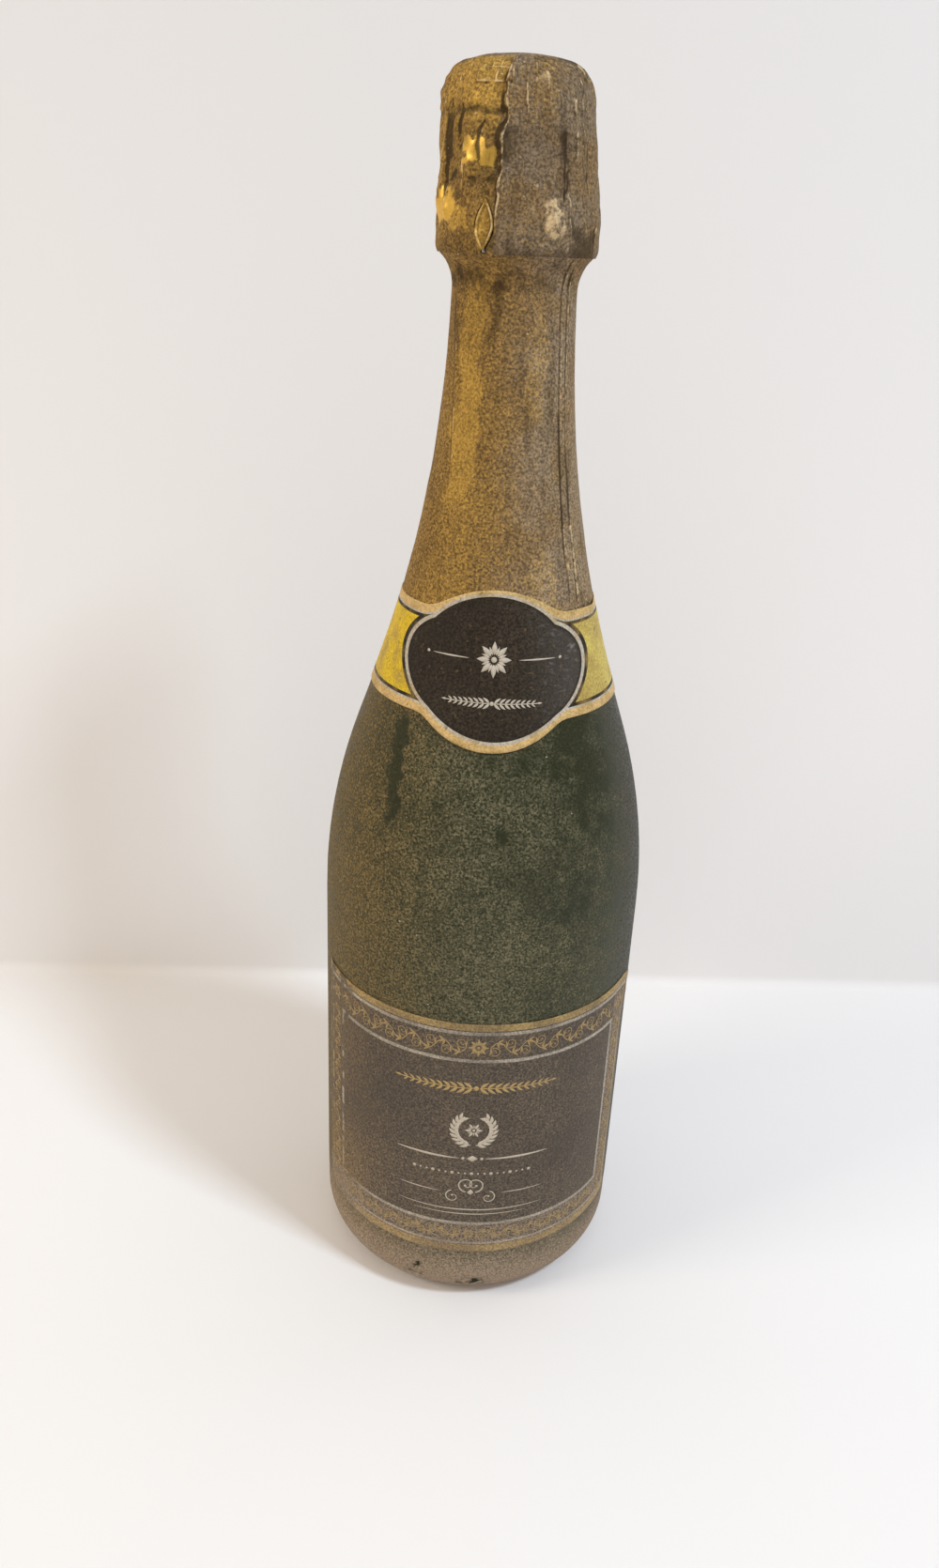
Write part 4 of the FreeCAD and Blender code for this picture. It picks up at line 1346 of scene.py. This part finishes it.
class BOTTLE_OT_cage(bpy.types.Operator):
    """Twist the four legs of the cage from pairs of wire and finish its rings"""

    bl_idname = "bottle.cage"
    bl_label = "Wire cage"

    def execute(self, context):
        settings = context.scene.bottle.cage
        finish = cage_steel(settings)
        for node in ("cage_top_ring", "belt_wire", "loop_stem"):
            dress_node(node, finish)
        for number in range(LEGS):
            turn = loop_turn() + math.radians(45 + 90 * number)
            self.leg(settings, number + 1, turn, finish)
        return {"FINISHED"}

    def leg(self, settings, number, turn, finish):
        """One leg: two wires wound round each other along the leg's route."""
        route = rounded_run(LEG_ROUTE, LEG_ROUNDS, 0.35)
        normals = line_normals(route)
        tangent = Vector((math.cos(turn), math.sin(turn), 0.0))
        points, faces = [], []
        for strand in (0.0, math.pi):
            line = []
            run = 0.0
            for place, normal, before in zip(route, normals, [route[0], *route]):
                run += (place - before).length
                twist = strand + math.tau * run * MM / settings.pitch
                moved = (place + normal * (settings.wire / MM) * math.cos(twist)) * MM
                line.append(round_about(moved.x, turn, moved.y) + tangent * settings.wire * math.sin(twist))
            tube(line, settings.wire * 0.98, WIRE_SIDES, points, faces)
        make_piece(f"twisted_leg_{number}", points, faces, finish, "cage", "cage_wire", f"cage_leg_{number}")


class BOTTLE_OT_loop(bpy.types.Operator):
    """Bend the wire loop and lay the leaf-shaped tab of foil over it"""

    bl_idname = "bottle.loop"
    bl_label = "Wire loop and tab"

    def execute(self, context):
        settings = context.scene.bottle
        self.wire_loop(settings.cage, settings.foil)
        self.tab(settings.foil)
        return {"FINISHED"}

    def wire_loop(self, cage, foil):
        """A leaf-shaped bend of wire whose two ends twist together at the root."""
        root, crossing, twist_steps, steps = 1.95 * MM, 3.3 * MM, 12, 30
        inset = 0.85 * MM
        top = foil.leaf_length - 1.2 * MM
        side = []
        for step in range(twist_steps):
            share = step / twist_steps
            twist = math.pi * (0.5 + 1.0 * share)
            height = root + (crossing - root) * share
            side.append(Vector((cage.wire * math.cos(twist), cage.wire * math.sin(twist), height)))
        for step in range(steps):
            share = step / steps
            height = crossing + (top - crossing) * math.sin(share * math.pi / 2)
            wide = max(leaf_width(foil, height) - inset, 0.0) * math.cos(share * math.pi / 2) ** 0.35
            start = cage.wire * (1 - share) ** 4
            side.append(Vector((0.0, -max(wide, start), height)))
        over = Vector((0.0, 0.0, top + 0.05 * MM))
        back = [Vector((-place.x, -place.y, place.z)) for place in reversed(side)]
        matrix = loop_frame()
        line = [matrix @ place for place in [*side, over, *back]]
        points, faces = [], []
        tube(line, cage.wire * 0.95, WIRE_SIDES, points, faces)
        finish = frame["nodes"]["loop_stem"].material_slots[0].material
        make_piece("bent_loop", points, faces, finish, "loop", "cage_wire", "twist_loop")

    def tab(self, foil):
        """A leaf of foil with the wire pressed through along its edge."""
        columns, rows, matrix = 25, 61, loop_frame()
        points, ridges, creases = [], [], []
        for column in range(columns):
            share = 2 * column / (columns - 1) - 1
            for row in range(rows):
                along = foil.leaf_length * (0.004 + 0.992 * row / (rows - 1))
                half = leaf_width(foil, along)
                inside = (half - half * abs(share)) / MM
                press = hump(inside - 0.38, 0.24) if half > 0.6 * MM else 0.4
                dent = noise.noise(Vector((share * 2.0, along * 500.0, 3.0)))
                root = fade_between(along / MM, -2.0, 4.6, 1.2)
                out = 0.5 * MM + (0.34 * press + 0.06 * dent + 0.4 * root) * MM
                points.append(matrix @ Vector((out, half * share, along)))
                # The pressed ridge is lightened and the strip inside it darkened: partly rubbed and dirty
                # foil, partly painted highlight and shade
                ridges.append(press)
                creases.append(0.5 * hump(inside - 0.85, 0.2))
        finish = gold_foil(foil, "tab_foil", 0.62, TAB_BARE)
        faces = quads(columns, rows, False)
        piece = make_piece("leaf_tab", points, faces, finish, "loop", "gold_foil", "foil_tab")
        paint_points(piece, "ridge", ridges)
        paint_points(piece, "crease", creases)
        thicken(piece, 0.1 * MM)


# The hood's outline from its lower edge to the top, as radius and height in mm
HOOD_RIM = ((18.1, 280.7), (18.6, 282.2), (18.55, 284.8), (18.5, 287.6), (18.1, 290.8))
HOOD_SIDE = ((17.3, 297), (16.5, 303), (15.9, 308), (15.2, 312), (14.1, 315.2))
HOOD_TOP = ((12.2, 317.5), (10, 318.7), (6.5, 319.5), (3, 319.95), (0.25, 320.1))
HOOD_OUTLINE = (*HOOD_RIM, *HOOD_SIDE, *HOOD_TOP)
HOOD_LEAF_ROOM = 0.09 * MM
LIP_WIDTH = 0.9 * MM

# The way the hood bulges, in degrees, and the radius under which the bulge dies away
BULGE_TURN, BULGE_RADIUS = -98, 11 * MM


class BOTTLE_OT_hood(bpy.types.Operator):
    """Crumple the foil hood over the cork and the cage"""

    bl_idname = "bottle.hood"
    bl_label = "Foil hood"

    def execute(self, context):
        settings = context.scene.bottle.foil
        columns, start = 420, loop_turn()
        line = smooth_line(HOOD_OUTLINE, 11)
        normals = line_normals(line)
        fold = Vector(JOINTS["loop_lift"]["pos_m"])
        creases, pleats = hood_creases(), hood_pleats(settings)
        points, heights, rubs_and_highlights, soils_and_shade = [], [], [], []
        for column in range(columns + 1):
            for place, normal in zip(line, normals):
                radius, height = place * MM
                gap = self.opening(settings, height - fold.z)
                slit = gap / radius if gap else 0.0
                turn = start + slit + (math.tau - 2 * slit) * column / columns
                spot = Spot(radius, turn, height)
                relief, rub_and_highlight, soil_and_shade = hood_relief(settings, creases, pleats, spot)
                edge = abs(spot.away(math.degrees(start))) * MM - gap
                lip = math.exp(-edge / LIP_WIDTH) * fade_between(spot.up, *HOOD_LIP, 2.0)
                free = min(1.0, max(0.0, (spot.up - HOOD_PRESSED) / 4.0))
                relief = relief * (1 - lip) * free + 0.5 * lip
                moved = place + normal * relief
                out = moved.x * MM + self.bulge(turn, radius, height)
                points.append(round_about(out, turn, moved.y * MM))
                heights.append(relief)
                rubs_and_highlights.append(rub_and_highlight)
                soils_and_shade.append(soil_and_shade * (1 - lip))
        rows = len(line)
        faces = quads(columns + 1, rows, False)
        faces.append(tuple(column * rows + rows - 1 for column in range(columns)))
        finish = gold_foil(settings, "hood_foil", 0.85, HOOD_BARE, -0.34, -0.2)
        piece = make_piece("crumpled_hood", points, faces, finish, "hood", "gold_foil", "foil_hood")
        paint_wear_and_light(piece, heights, rubs_and_highlights, soils_and_shade, columns + 1, rows)
        weld(piece)
        thicken(piece, settings.sheet * 0.5)
        return {"FINISHED"}

    def bulge(self, turn, radius, height):
        """How far the hood is pushed out to the left."""
        side = max(0.0, math.cos(turn - math.radians(BULGE_TURN))) ** 1.5
        return step_between(HOOD_BULGE, height / MM) * MM * side * min(1.0, radius / BULGE_RADIUS)

    def opening(self, settings, along):
        """Half the width of the hood's opening at a distance above the fold."""
        if along > settings.leaf_length + HOOD_LEAF_ROOM:
            return 0.0
        half = leaf_width(settings, along) + HOOD_LEAF_ROOM
        return max(half, 0.62 * MM) if along < settings.leaf_length / 2 else half


# Seams of the neck foil: turn in degrees and height of the step in mm
NECK_SEAMS = ((47.5, 0.24), (55, 0.18), (214, 0.22))

# The slanting fold of the neck foil: its turn in degrees at a height in mm, its slant, and its ends' heights
FOLD_TURN, FOLD_HEIGHT, FOLD_SLANT = -60, 269, 0.45
FOLD_ENDS = (232, 274)

# Heights on the neck foil in mm: where it is puckered under the ring, and where it isn't held flat
NECK_PUCKERED = (272.5, 281)
NECK_LOOSE = (203, 281.5)
PUCKERS = 23

# The flare at the top of the neck foil: how far out and how far up from its foot, in mm
FLARE = ((0.0, 0.0), (0.25, 1.6), (0.8, 3.2), (1.45, 4.4), (2.2, 5.3), (2.9, 6.0), (3.4, 6.6))


class BOTTLE_OT_skirt(bpy.types.Operator):
    """Wrap the foil round the neck, with its seam, folds and flared top"""

    bl_idname = "bottle.skirt"
    bl_label = "Neck foil"

    def execute(self, context):
        scene = context.scene.bottle
        settings = scene.foil
        columns = 300
        line = self.outline(scene)
        rows = len(line)
        points, heights, rubs_and_highlights, soils_and_shade = [], [], [], []
        for column in range(columns):
            turn = math.tau * column / columns
            for row, (radius, height) in enumerate(line):
                if row == rows - 1:
                    height -= self.notch(radius, turn)
                relief, rub_and_highlight, soil_and_shade = self.relief(Spot(radius, turn, height))
                points.append(round_about(radius + relief * MM, turn, height))
                heights.append(relief)
                rubs_and_highlights.append(rub_and_highlight)
                soils_and_shade.append(soil_and_shade)
        faces = quads(columns, rows, True)
        # light=1.35 paints a highlight down the right of the neck
        finish = gold_foil(settings, "neck_foil", 0.8, NECK_BARE, light=1.35)
        piece = make_piece("neck_foil", points, faces, finish, "bottle", "gold_foil", "foil_skirt")
        paint_wear_and_light(piece, heights, rubs_and_highlights, soils_and_shade, columns, rows)
        thicken(piece, settings.sheet * 0.5)
        return {"FINISHED"}

    def outline(self, scene):
        """Radius and height of each row: up the neck and out along the flare to the tear line."""
        out, neck_rows = 0.2 * MM, 130
        rise = FLARE[-1][1] * MM
        foot = SKIRT_HIGH.z - rise
        line = []
        for row in range(neck_rows):
            height = SKIRT_LOW.z + (foot - SKIRT_LOW.z) * row / neck_rows
            line.append((skin_radius(scene.glass, height, out), height))
        radius = skin_radius(scene.glass, foot, out)
        for place in smooth_line(FLARE, 4):
            line.append((radius + place.x * MM, foot + place.y * MM))
        return line

    def notch(self, radius, turn):
        """How far the top edge dips to let the wire's stub out."""
        away = turn_between(math.degrees(turn), math.degrees(loop_turn())) * math.radians(radius)
        return 0.5 * MM * math.exp(-((away / (0.8 * MM)) ** 4))

    def relief(self, spot):
        """Seam, folds and soft dents: how far the foil stands out in mm, how much it is lightened by rubbing
        and painted highlights, and how much it is darkened by dirty foil and painted shade.
        """
        up = spot.up
        broken = spot.rough(300.0)
        relief = 0.12 * spot.rough(70.0) + 0.06 * spot.rough(240.0)
        ragged = 1.5 * spot.rough(110.0) + 0.5 * broken
        # Pale patches are painted highlights; dark ones are painted shade under the hood and dirty foil
        rub_and_highlight = patch_share(NECK_HIGHLIGHTS, spot, ragged)
        dirt_and_shade = patch_share(NECK_SHADE_AND_DIRT, spot, ragged)
        # Each seam gets a painted highlight on its raised edge and painted shade beside it
        for seam_turn, depth in NECK_SEAMS:
            away = spot.away(seam_turn) + 0.25 * spot.rough(60.0)
            relief += depth * fade_between(away, 0.0, 2.6, 0.3)
            rub_and_highlight += 0.75 * hump(away - 0.3, 0.25) * (0.7 + broken)
            dirt_and_shade += 0.5 * hump(away + 0.25, 0.25)
        # The slanting fold gets a painted highlight on it and painted shade beside it
        away = spot.away(FOLD_TURN + (FOLD_HEIGHT - up) * FOLD_SLANT)
        fold = fade_between(up, *FOLD_ENDS, 6.0)
        relief += 0.3 * math.exp(-abs(away) / 0.5) * fold
        rub_and_highlight += 0.6 * hump(away, 0.25) * fold * (0.7 + broken)
        dirt_and_shade += 0.5 * hump(away + 0.6, 0.4) * fold
        # Right under the hood's rim the puckered foil gets painted shade
        neck = fade_between(up, *NECK_PUCKERED, 2.5)
        pucker = math.cos(math.radians(spot.degrees * PUCKERS) + 3.0 * spot.rough(90.0))
        relief += 0.12 * pucker * neck
        dirt_and_shade += neck * (0.22 + 0.3 * broken)
        return relief * fade_between(up, *NECK_LOOSE, 3.0), rub_and_highlight, dirt_and_shade


# The cartouche on the collar, as across and up in mm: its corners, and the middle of the side after each
CARTOUCHE = (
    ((-14.7, 200.3), (0.0, 206.9)),
    ((14.2, 200.2), (21.6, 190.2)),
    ((15.7, 179.4), (0.0, 173.8)),
    ((-15.6, 180.0), (-21.3, 189.8)),
)

# A distance beyond every printed line, in mm, and the share of a rise that counts as distance from the edge
FAR = 20.0
EDGE_SHARE = 0.93

# Where the collar has come away: turn and half a width in degrees, and lowest height in mm
LOOSE_TURN, LOOSE_HALF, LOOSE_FOOT = 66, 10, 196


def arc_through(start, middle, end, steps):
    """Points on the circle through three points, from the first up to the last."""
    start, middle, end = Vector(start), Vector(middle), Vector(end)
    first, second = middle - start, end - start
    cross = 2 * (first.x * second.y - first.y * second.x)
    across = second.y * first.length_squared - first.y * second.length_squared
    up = first.x * second.length_squared - second.x * first.length_squared
    centre = start + Vector((across, up)) / cross
    begin = math.atan2(start.y - centre.y, start.x - centre.x)
    sweep = -(begin - math.atan2(end.y - centre.y, end.x - centre.x)) % -math.tau
    radius = (start - centre).length
    turns = [begin + sweep * step / steps for step in range(steps)]
    return [centre + unit(turn) * radius for turn in turns]


def cartouche_line():
    """The closed outline of the cartouche, clockwise."""
    line = []
    for number, (corner, middle) in enumerate(CARTOUCHE):
        line += arc_through(corner, middle, CARTOUCHE[(number + 1) % len(CARTOUCHE)][0], 24)
    return line


def distance_to(line, place):
    """The distance from a place to a closed line, negative inside."""
    nearest = 1e9
    inside = False
    for start, end in zip(line, [*line[1:], line[0]]):
        along = end - start
        share = min(1.0, max(0.0, (place - start).dot(along) / along.length_squared))
        nearest = min(nearest, (start + along * share - place).length)
        if (start.y > place.y) != (end.y > place.y):
            if place.x < start.x + (place.y - start.y) / (end.y - start.y) * along.x:
                inside = not inside
    return -nearest if inside else nearest


class BOTTLE_OT_collar(bpy.types.Operator):
    """Cut and print the lobed paper collar"""

    bl_idname = "bottle.collar"
    bl_label = "Collar"

    def execute(self, context):
        scene = context.scene.bottle
        settings = scene.collar
        columns, rows = 480, 56
        line = cartouche_line()
        points, chart = [], []
        for column in range(columns):
            turn = math.tau * column / columns - math.pi
            low, high = self.edges(scene, turn)
            for row in range(rows):
                height = low + (high - low) * row / (rows - 1)
                radius = skin_radius(scene.glass, height, settings.stand_off + self.lift(turn, height))
                points.append(round_about(radius, turn, height))
                place = Vector((radius * math.sin(turn), height)) / MM
                front = abs(turn) < math.radians(80)
                away = distance_to(line, place) if front else FAR
                chart.append((away, min(high - height, height - low) / MM * EDGE_SHARE))
        faces = quads(columns, rows, True)
        finish = collar_print(settings)
        piece = make_piece("collar", points, faces, finish, "bottle", "collar_paper", "neck_label")
        map_points(piece, chart)
        thicken(piece, settings.paper)
        self.ornament(scene)
        return {"FINISHED"}

    def edges(self, scene, turn):
        """The lower and upper edge of the paper at an angle, with a lobe on each in front."""
        settings = scene.collar
        low, high = settings.band_low, settings.band_high
        if abs(turn) > math.pi / 2:
            return low, high
        across_high = glass_radius(scene.glass, high) * math.sin(turn)
        across_low = glass_radius(scene.glass, low) * math.sin(turn)
        high += self.lobe(across_high, settings.top_half, COLLAR_HIGH.z - high)
        low -= self.lobe(across_low, settings.bottom_half, low - COLLAR_LOW.z)
        return low, high

    def lobe(self, across, half, rise):
        """How far a lobe stands out from the band, as a round arc that runs out softly."""
        reach = (half**2 + rise**2) / (2 * rise)
        soft = 0.9 * MM
        arc = math.sqrt(max(reach**2 - across**2, 0.0)) - (reach - rise)
        return soft * math.log1p(math.exp(min(arc / soft, 60.0)))

    def lift(self, turn, height):
        """Where the paper's edge has come away from the foil."""
        corner = hump(math.degrees(turn) - LOOSE_TURN, LOOSE_HALF)
        edge = fade_between(height / MM, LOOSE_FOOT, 230.0, 6.5)
        wave = 0.05 * MM * noise.noise(round_about(0.025, turn, height) * 120.0)
        return 0.9 * MM * corner * edge**2 + wave

    def ornament(self, scene):
        """A rosette between two rules, with a garland below it."""
        ink = Ink()
        ink.rosette((0.0, 192.6), 4.2, 8)
        for side in (-1, 1):
            ink.rule((side * 10.4, 192.6), 4.4, 0.4)
            ink.bead((side * 15.9, 192.6), 0.35)
        ink.garland((0.0, 182.6), 11.5, 2.1)

        def place(across, up):
            radius = skin_radius(scene.glass, up * MM, scene.collar.stand_off + 0.02 * MM)
            return round_about(radius, math.asin(across * MM / radius), up * MM)

        finish = printed_ink("collar_ink", scene.collar.silver, scene.collar.dust, 0.2)
        ink.lay("collar_ornament", place, finish, "collar_paper")


# Heights on the front label in mm: the nick in its right edge, and where that edge starts to come loose
NICK_HEIGHT, CURL_FOOT = 95, 84


class BOTTLE_OT_label(bpy.types.Operator):
    """Cut and print the front label"""

    bl_idname = "bottle.label"
    bl_label = "Front label"

    def execute(self, context):
        settings = context.scene.bottle.label
        columns, rows = 220, 130
        radius = GLASS_HIGH.x + 0.03 * MM + settings.paper
        low, high = LABEL_LOW.z, LABEL_HIGH.z
        points, chart = [], []
        for column in range(columns):
            share = 2 * column / (columns - 1) - 1
            for row in range(rows):
                height = low + (high - low) * row / (rows - 1)
                across = settings.half_angle * radius * share
                across -= self.torn(share, height)
                turn = settings.azimuth + across / radius
                points.append(round_about(radius + self.lift(share, height), turn, height))
                chart.append((across / MM, height / MM))
        faces = quads(columns, rows, False)
        finish = label_print(settings)
        piece = make_piece("front_label", points, faces, finish, "bottle", "label_paper", "body_label")
        map_points(piece, chart)
        thicken(piece, settings.paper)
        self.ornament(settings, radius)
        return {"FINISHED"}

    def torn(self, share, height):
        """How far the ragged right edge is worn back."""
        edge = fade_between(share, 0.93, 1.2, 0.07)
        ragged = 0.35 + 0.5 * noise.noise(Vector((0.0, 4.0, height * 420.0)))
        nick = 2.2 * hump(height / MM - NICK_HEIGHT, 1.3)
        return (ragged + nick) * MM * edge**2

    def lift(self, share, height):
        """Small blisters, and the right edge a little loose near the top."""
        loose = fade_between(share, 0.9, 1.2, 0.1) ** 2 * fade_between(height / MM, CURL_FOOT, 120.0, 10.0)
        place = Vector((share * 5.0, 0.0, height * 90.0))
        return 0.55 * MM * loose + 0.05 * MM * (1 + noise.noise(place))

    def ornament(self, settings, radius):
        """Leafy borders, a garland, a wreath and level dividers."""
        border, garland, middle = Ink(), Ink(), Ink()
        for side in (-1, 1):
            border.scroll((side * 3.2, 91.8), (side * 44.5, 91.8), 6.4, 8.26)
            border.scroll((side * 48.1, 87.0), (side * 48.1, 27.0), 5.0, 7.5)
            border.scroll((side * 2.4, 27.2), (side * 44.0, 27.2), 4.4, 6.93)
            border.rosette((side * 48.1, 91.8), 2.7, 6)
            border.rosette((side * 48.1, 24.6), 1.6, 6)
        border.rosette((0.0, 91.8), 2.8, 8)
        border.rosette((0.0, 27.2), 1.9, 6)
        garland.garland((0.0, 78.6), 22.0, 3.0)
        middle.wreath((0.0, 64.4), 5.2, 9)
        middle.rosette((0.0, 64.4), 2.5, 6)
        middle.divider((0.0, 54.6), 18.0, 0.75)
        for number in range(-9, 10):
            middle.bead((number * 1.8, 49.3), 0.3 if number % 3 else 0.5)
        for side in (-1, 1):
            middle.curl((side * 1.4, 42.6), math.pi / 2 - side * 1.35, 2.6, 1.2, side, 0.4)
            middle.curl((side * 5.4, 42.9), math.pi / 2 - side * 1.9, 2.2, 1.1, -side, 0.34)
            middle.rule((side * 14.6, 42.2), 6.0, 0.35)
        middle.lozenge((0.0, 42.6), 0.9, 2.0)
        middle.rule((0.0, 36.2), 21.0, 0.4)
        middle.rule((0.0, 34.6), 16.0, 0.3)

        def place(across, up):
            turn = settings.azimuth + across * MM / radius
            share = across * MM / (settings.half_angle * radius)
            out = radius + self.lift(share, up * MM) + 0.015 * MM
            return round_about(out, turn, up * MM)

        faint = printed_ink("border_ink", toned(settings.gold, 0.85), settings.dust, 0.35)
        gilt = printed_ink("garland_ink", settings.gold, settings.dust, 0.25)
        bright = printed_ink("emblem_ink", settings.cream, settings.dust, 0.25)
        border.lay("label_border", place, faint, "label_paper")
        garland.lay("label_garland", place, gilt, "label_paper")
        middle.lay("label_emblem", place, bright, "label_paper")


class BOTTLE_OT_stage(bpy.types.Operator):
    """Set up the paper sweep, the lamps, the even light and the camera"""

    bl_idname = "bottle.stage"
    bl_label = "Stage"

    def execute(self, context):
        settings = context.scene.bottle.stage
        context.scene.view_settings.view_transform = "Standard"
        self.sweep(settings)
        self.sky(context.scene, settings)
        self.lamp("day_lamp", settings.cool, settings.day_watts, turn=54, rise=52, distance=1.1, size=0.16)
        self.lamp("warm_lamp", settings.warm, settings.warm_watts, turn=-65, rise=34, distance=1.0, size=0.3)
        self.camera(context.scene, settings)
        return {"FINISHED"}

    def sweep(self, settings):
        """Floor and wall in one bent sheet of paper."""
        columns, bend_steps = 2, 12
        half, front, top, bend, skew = 3.0, -3.0, 2.0, 4 * MM, 0.062
        line = [Vector((front, 0.0))]
        for step in range(bend_steps + 1):
            turn = math.pi / 2 * step / bend_steps
            line.append(Vector((settings.wall - bend + bend * math.sin(turn), bend - bend * math.cos(turn))))
        line.append(Vector((settings.wall, top)))
        points = []
        for side in range(columns):
            for place in line:
                across = half * (2 * side - 1)
                points.append((across, place.x + skew * across, place.y))
        sheet = add_sheet("sweep", points, quads(columns, len(line), False), sweep_paper(settings))

    def sky(self, scene, settings):
        """Even light all round, and a white background."""
        world = bpy.data.worlds.new("even_light")
        world.use_nodes = True
        scene.world = world
        nodes = Nodes(world.node_tree)
        even = nodes.tree.nodes["Background"]
        nodes.feed(even.inputs["Color"], settings.sky_colour)
        nodes.feed(even.inputs["Strength"], settings.sky)
        white = nodes.add("ShaderNodeBackground", {"Color": (1.0, 1.0, 1.0)})
        path = nodes.add("ShaderNodeLightPath").outputs
        seen = Field(nodes, path["Is Camera Ray"]).most(path["Is Transmission Ray"])
        choice = nodes.add("ShaderNodeMixShader", {0: seen, 1: even.outputs[0], 2: white.outputs[0]})
        nodes.feed(nodes.tree.nodes["World Output"].inputs["Surface"], choice.outputs[0])

    def lamp(self, name, colour, watts, turn, rise, distance, size):
        """A square soft lamp at an angle round the bottle, aimed at its middle."""
        data = bpy.data.lights.new(name, "AREA")
        data.energy = watts
        data.color = colour
        data.size = size
        lamp = add_object(name, data)
        aim = Vector((0.0, 0.0, GLASS_HIGH.z / 2))
        level = distance * math.cos(math.radians(rise))
        lamp.location = aim + round_about(level, math.radians(turn), distance * math.sin(math.radians(rise)))
        lamp.rotation_mode = "QUATERNION"
        lamp.rotation_quaternion = (aim - lamp.location).to_track_quat("-Z", "Y")

    def camera(self, scene, settings):
        """The camera, looking down at the bottle's front."""
        data = bpy.data.cameras.new("camera")
        data.lens = settings.lens
        data.clip_start = 10 * MM
        camera = add_object("camera", data)
        turn = Matrix.Rotation(settings.yaw, 4, "Z")
        tilt = Matrix.Rotation(math.pi / 2 - settings.pitch, 4, "X")
        lean = Matrix.Rotation(settings.roll, 4, "Z")
        camera.matrix_world = Matrix.Translation(settings.eye) @ turn @ tilt @ lean
        scene.camera = camera


STEPS = (
    BOTTLE_OT_glass,
    BOTTLE_OT_stopper,
    BOTTLE_OT_cage,
    BOTTLE_OT_loop,
    BOTTLE_OT_hood,
    BOTTLE_OT_skirt,
    BOTTLE_OT_collar,
    BOTTLE_OT_label,
    BOTTLE_OT_stage,
)


class BOTTLE_PT_panel(bpy.types.Panel):
    """The bottle's pieces, in the order in which they are built"""

    bl_idname = "BOTTLE_PT_panel"
    bl_label = "Bottle"
    bl_space_type = "VIEW_3D"
    bl_region_type = "UI"
    bl_category = "Bottle"

    def draw(self, context):
        for step in STEPS:
            self.layout.operator(step.bl_idname)


CLASSES = (
    GlassSettings,
    FoilSettings,
    CageSettings,
    StopperSettings,
    CollarSettings,
    LabelSettings,
    StageSettings,
    BottleSettings,
    *STEPS,
    BOTTLE_PT_panel,
)


def register():
    for item in CLASSES:
        bpy.utils.register_class(item)
    bpy.types.Scene.bottle = PointerProperty(type=BottleSettings)


def unregister():
    del bpy.types.Scene.bottle
    for item in reversed(CLASSES):
        bpy.utils.unregister_class(item)


def main():
    """Build every piece in order."""
    register()
    bpy.ops.bottle.glass()
    bpy.ops.bottle.stopper()
    bpy.ops.bottle.cage()
    bpy.ops.bottle.loop()
    bpy.ops.bottle.hood()
    bpy.ops.bottle.skirt()
    bpy.ops.bottle.collar()
    bpy.ops.bottle.label()
    bpy.ops.bottle.stage()


if __name__ == "__main__":
    main()
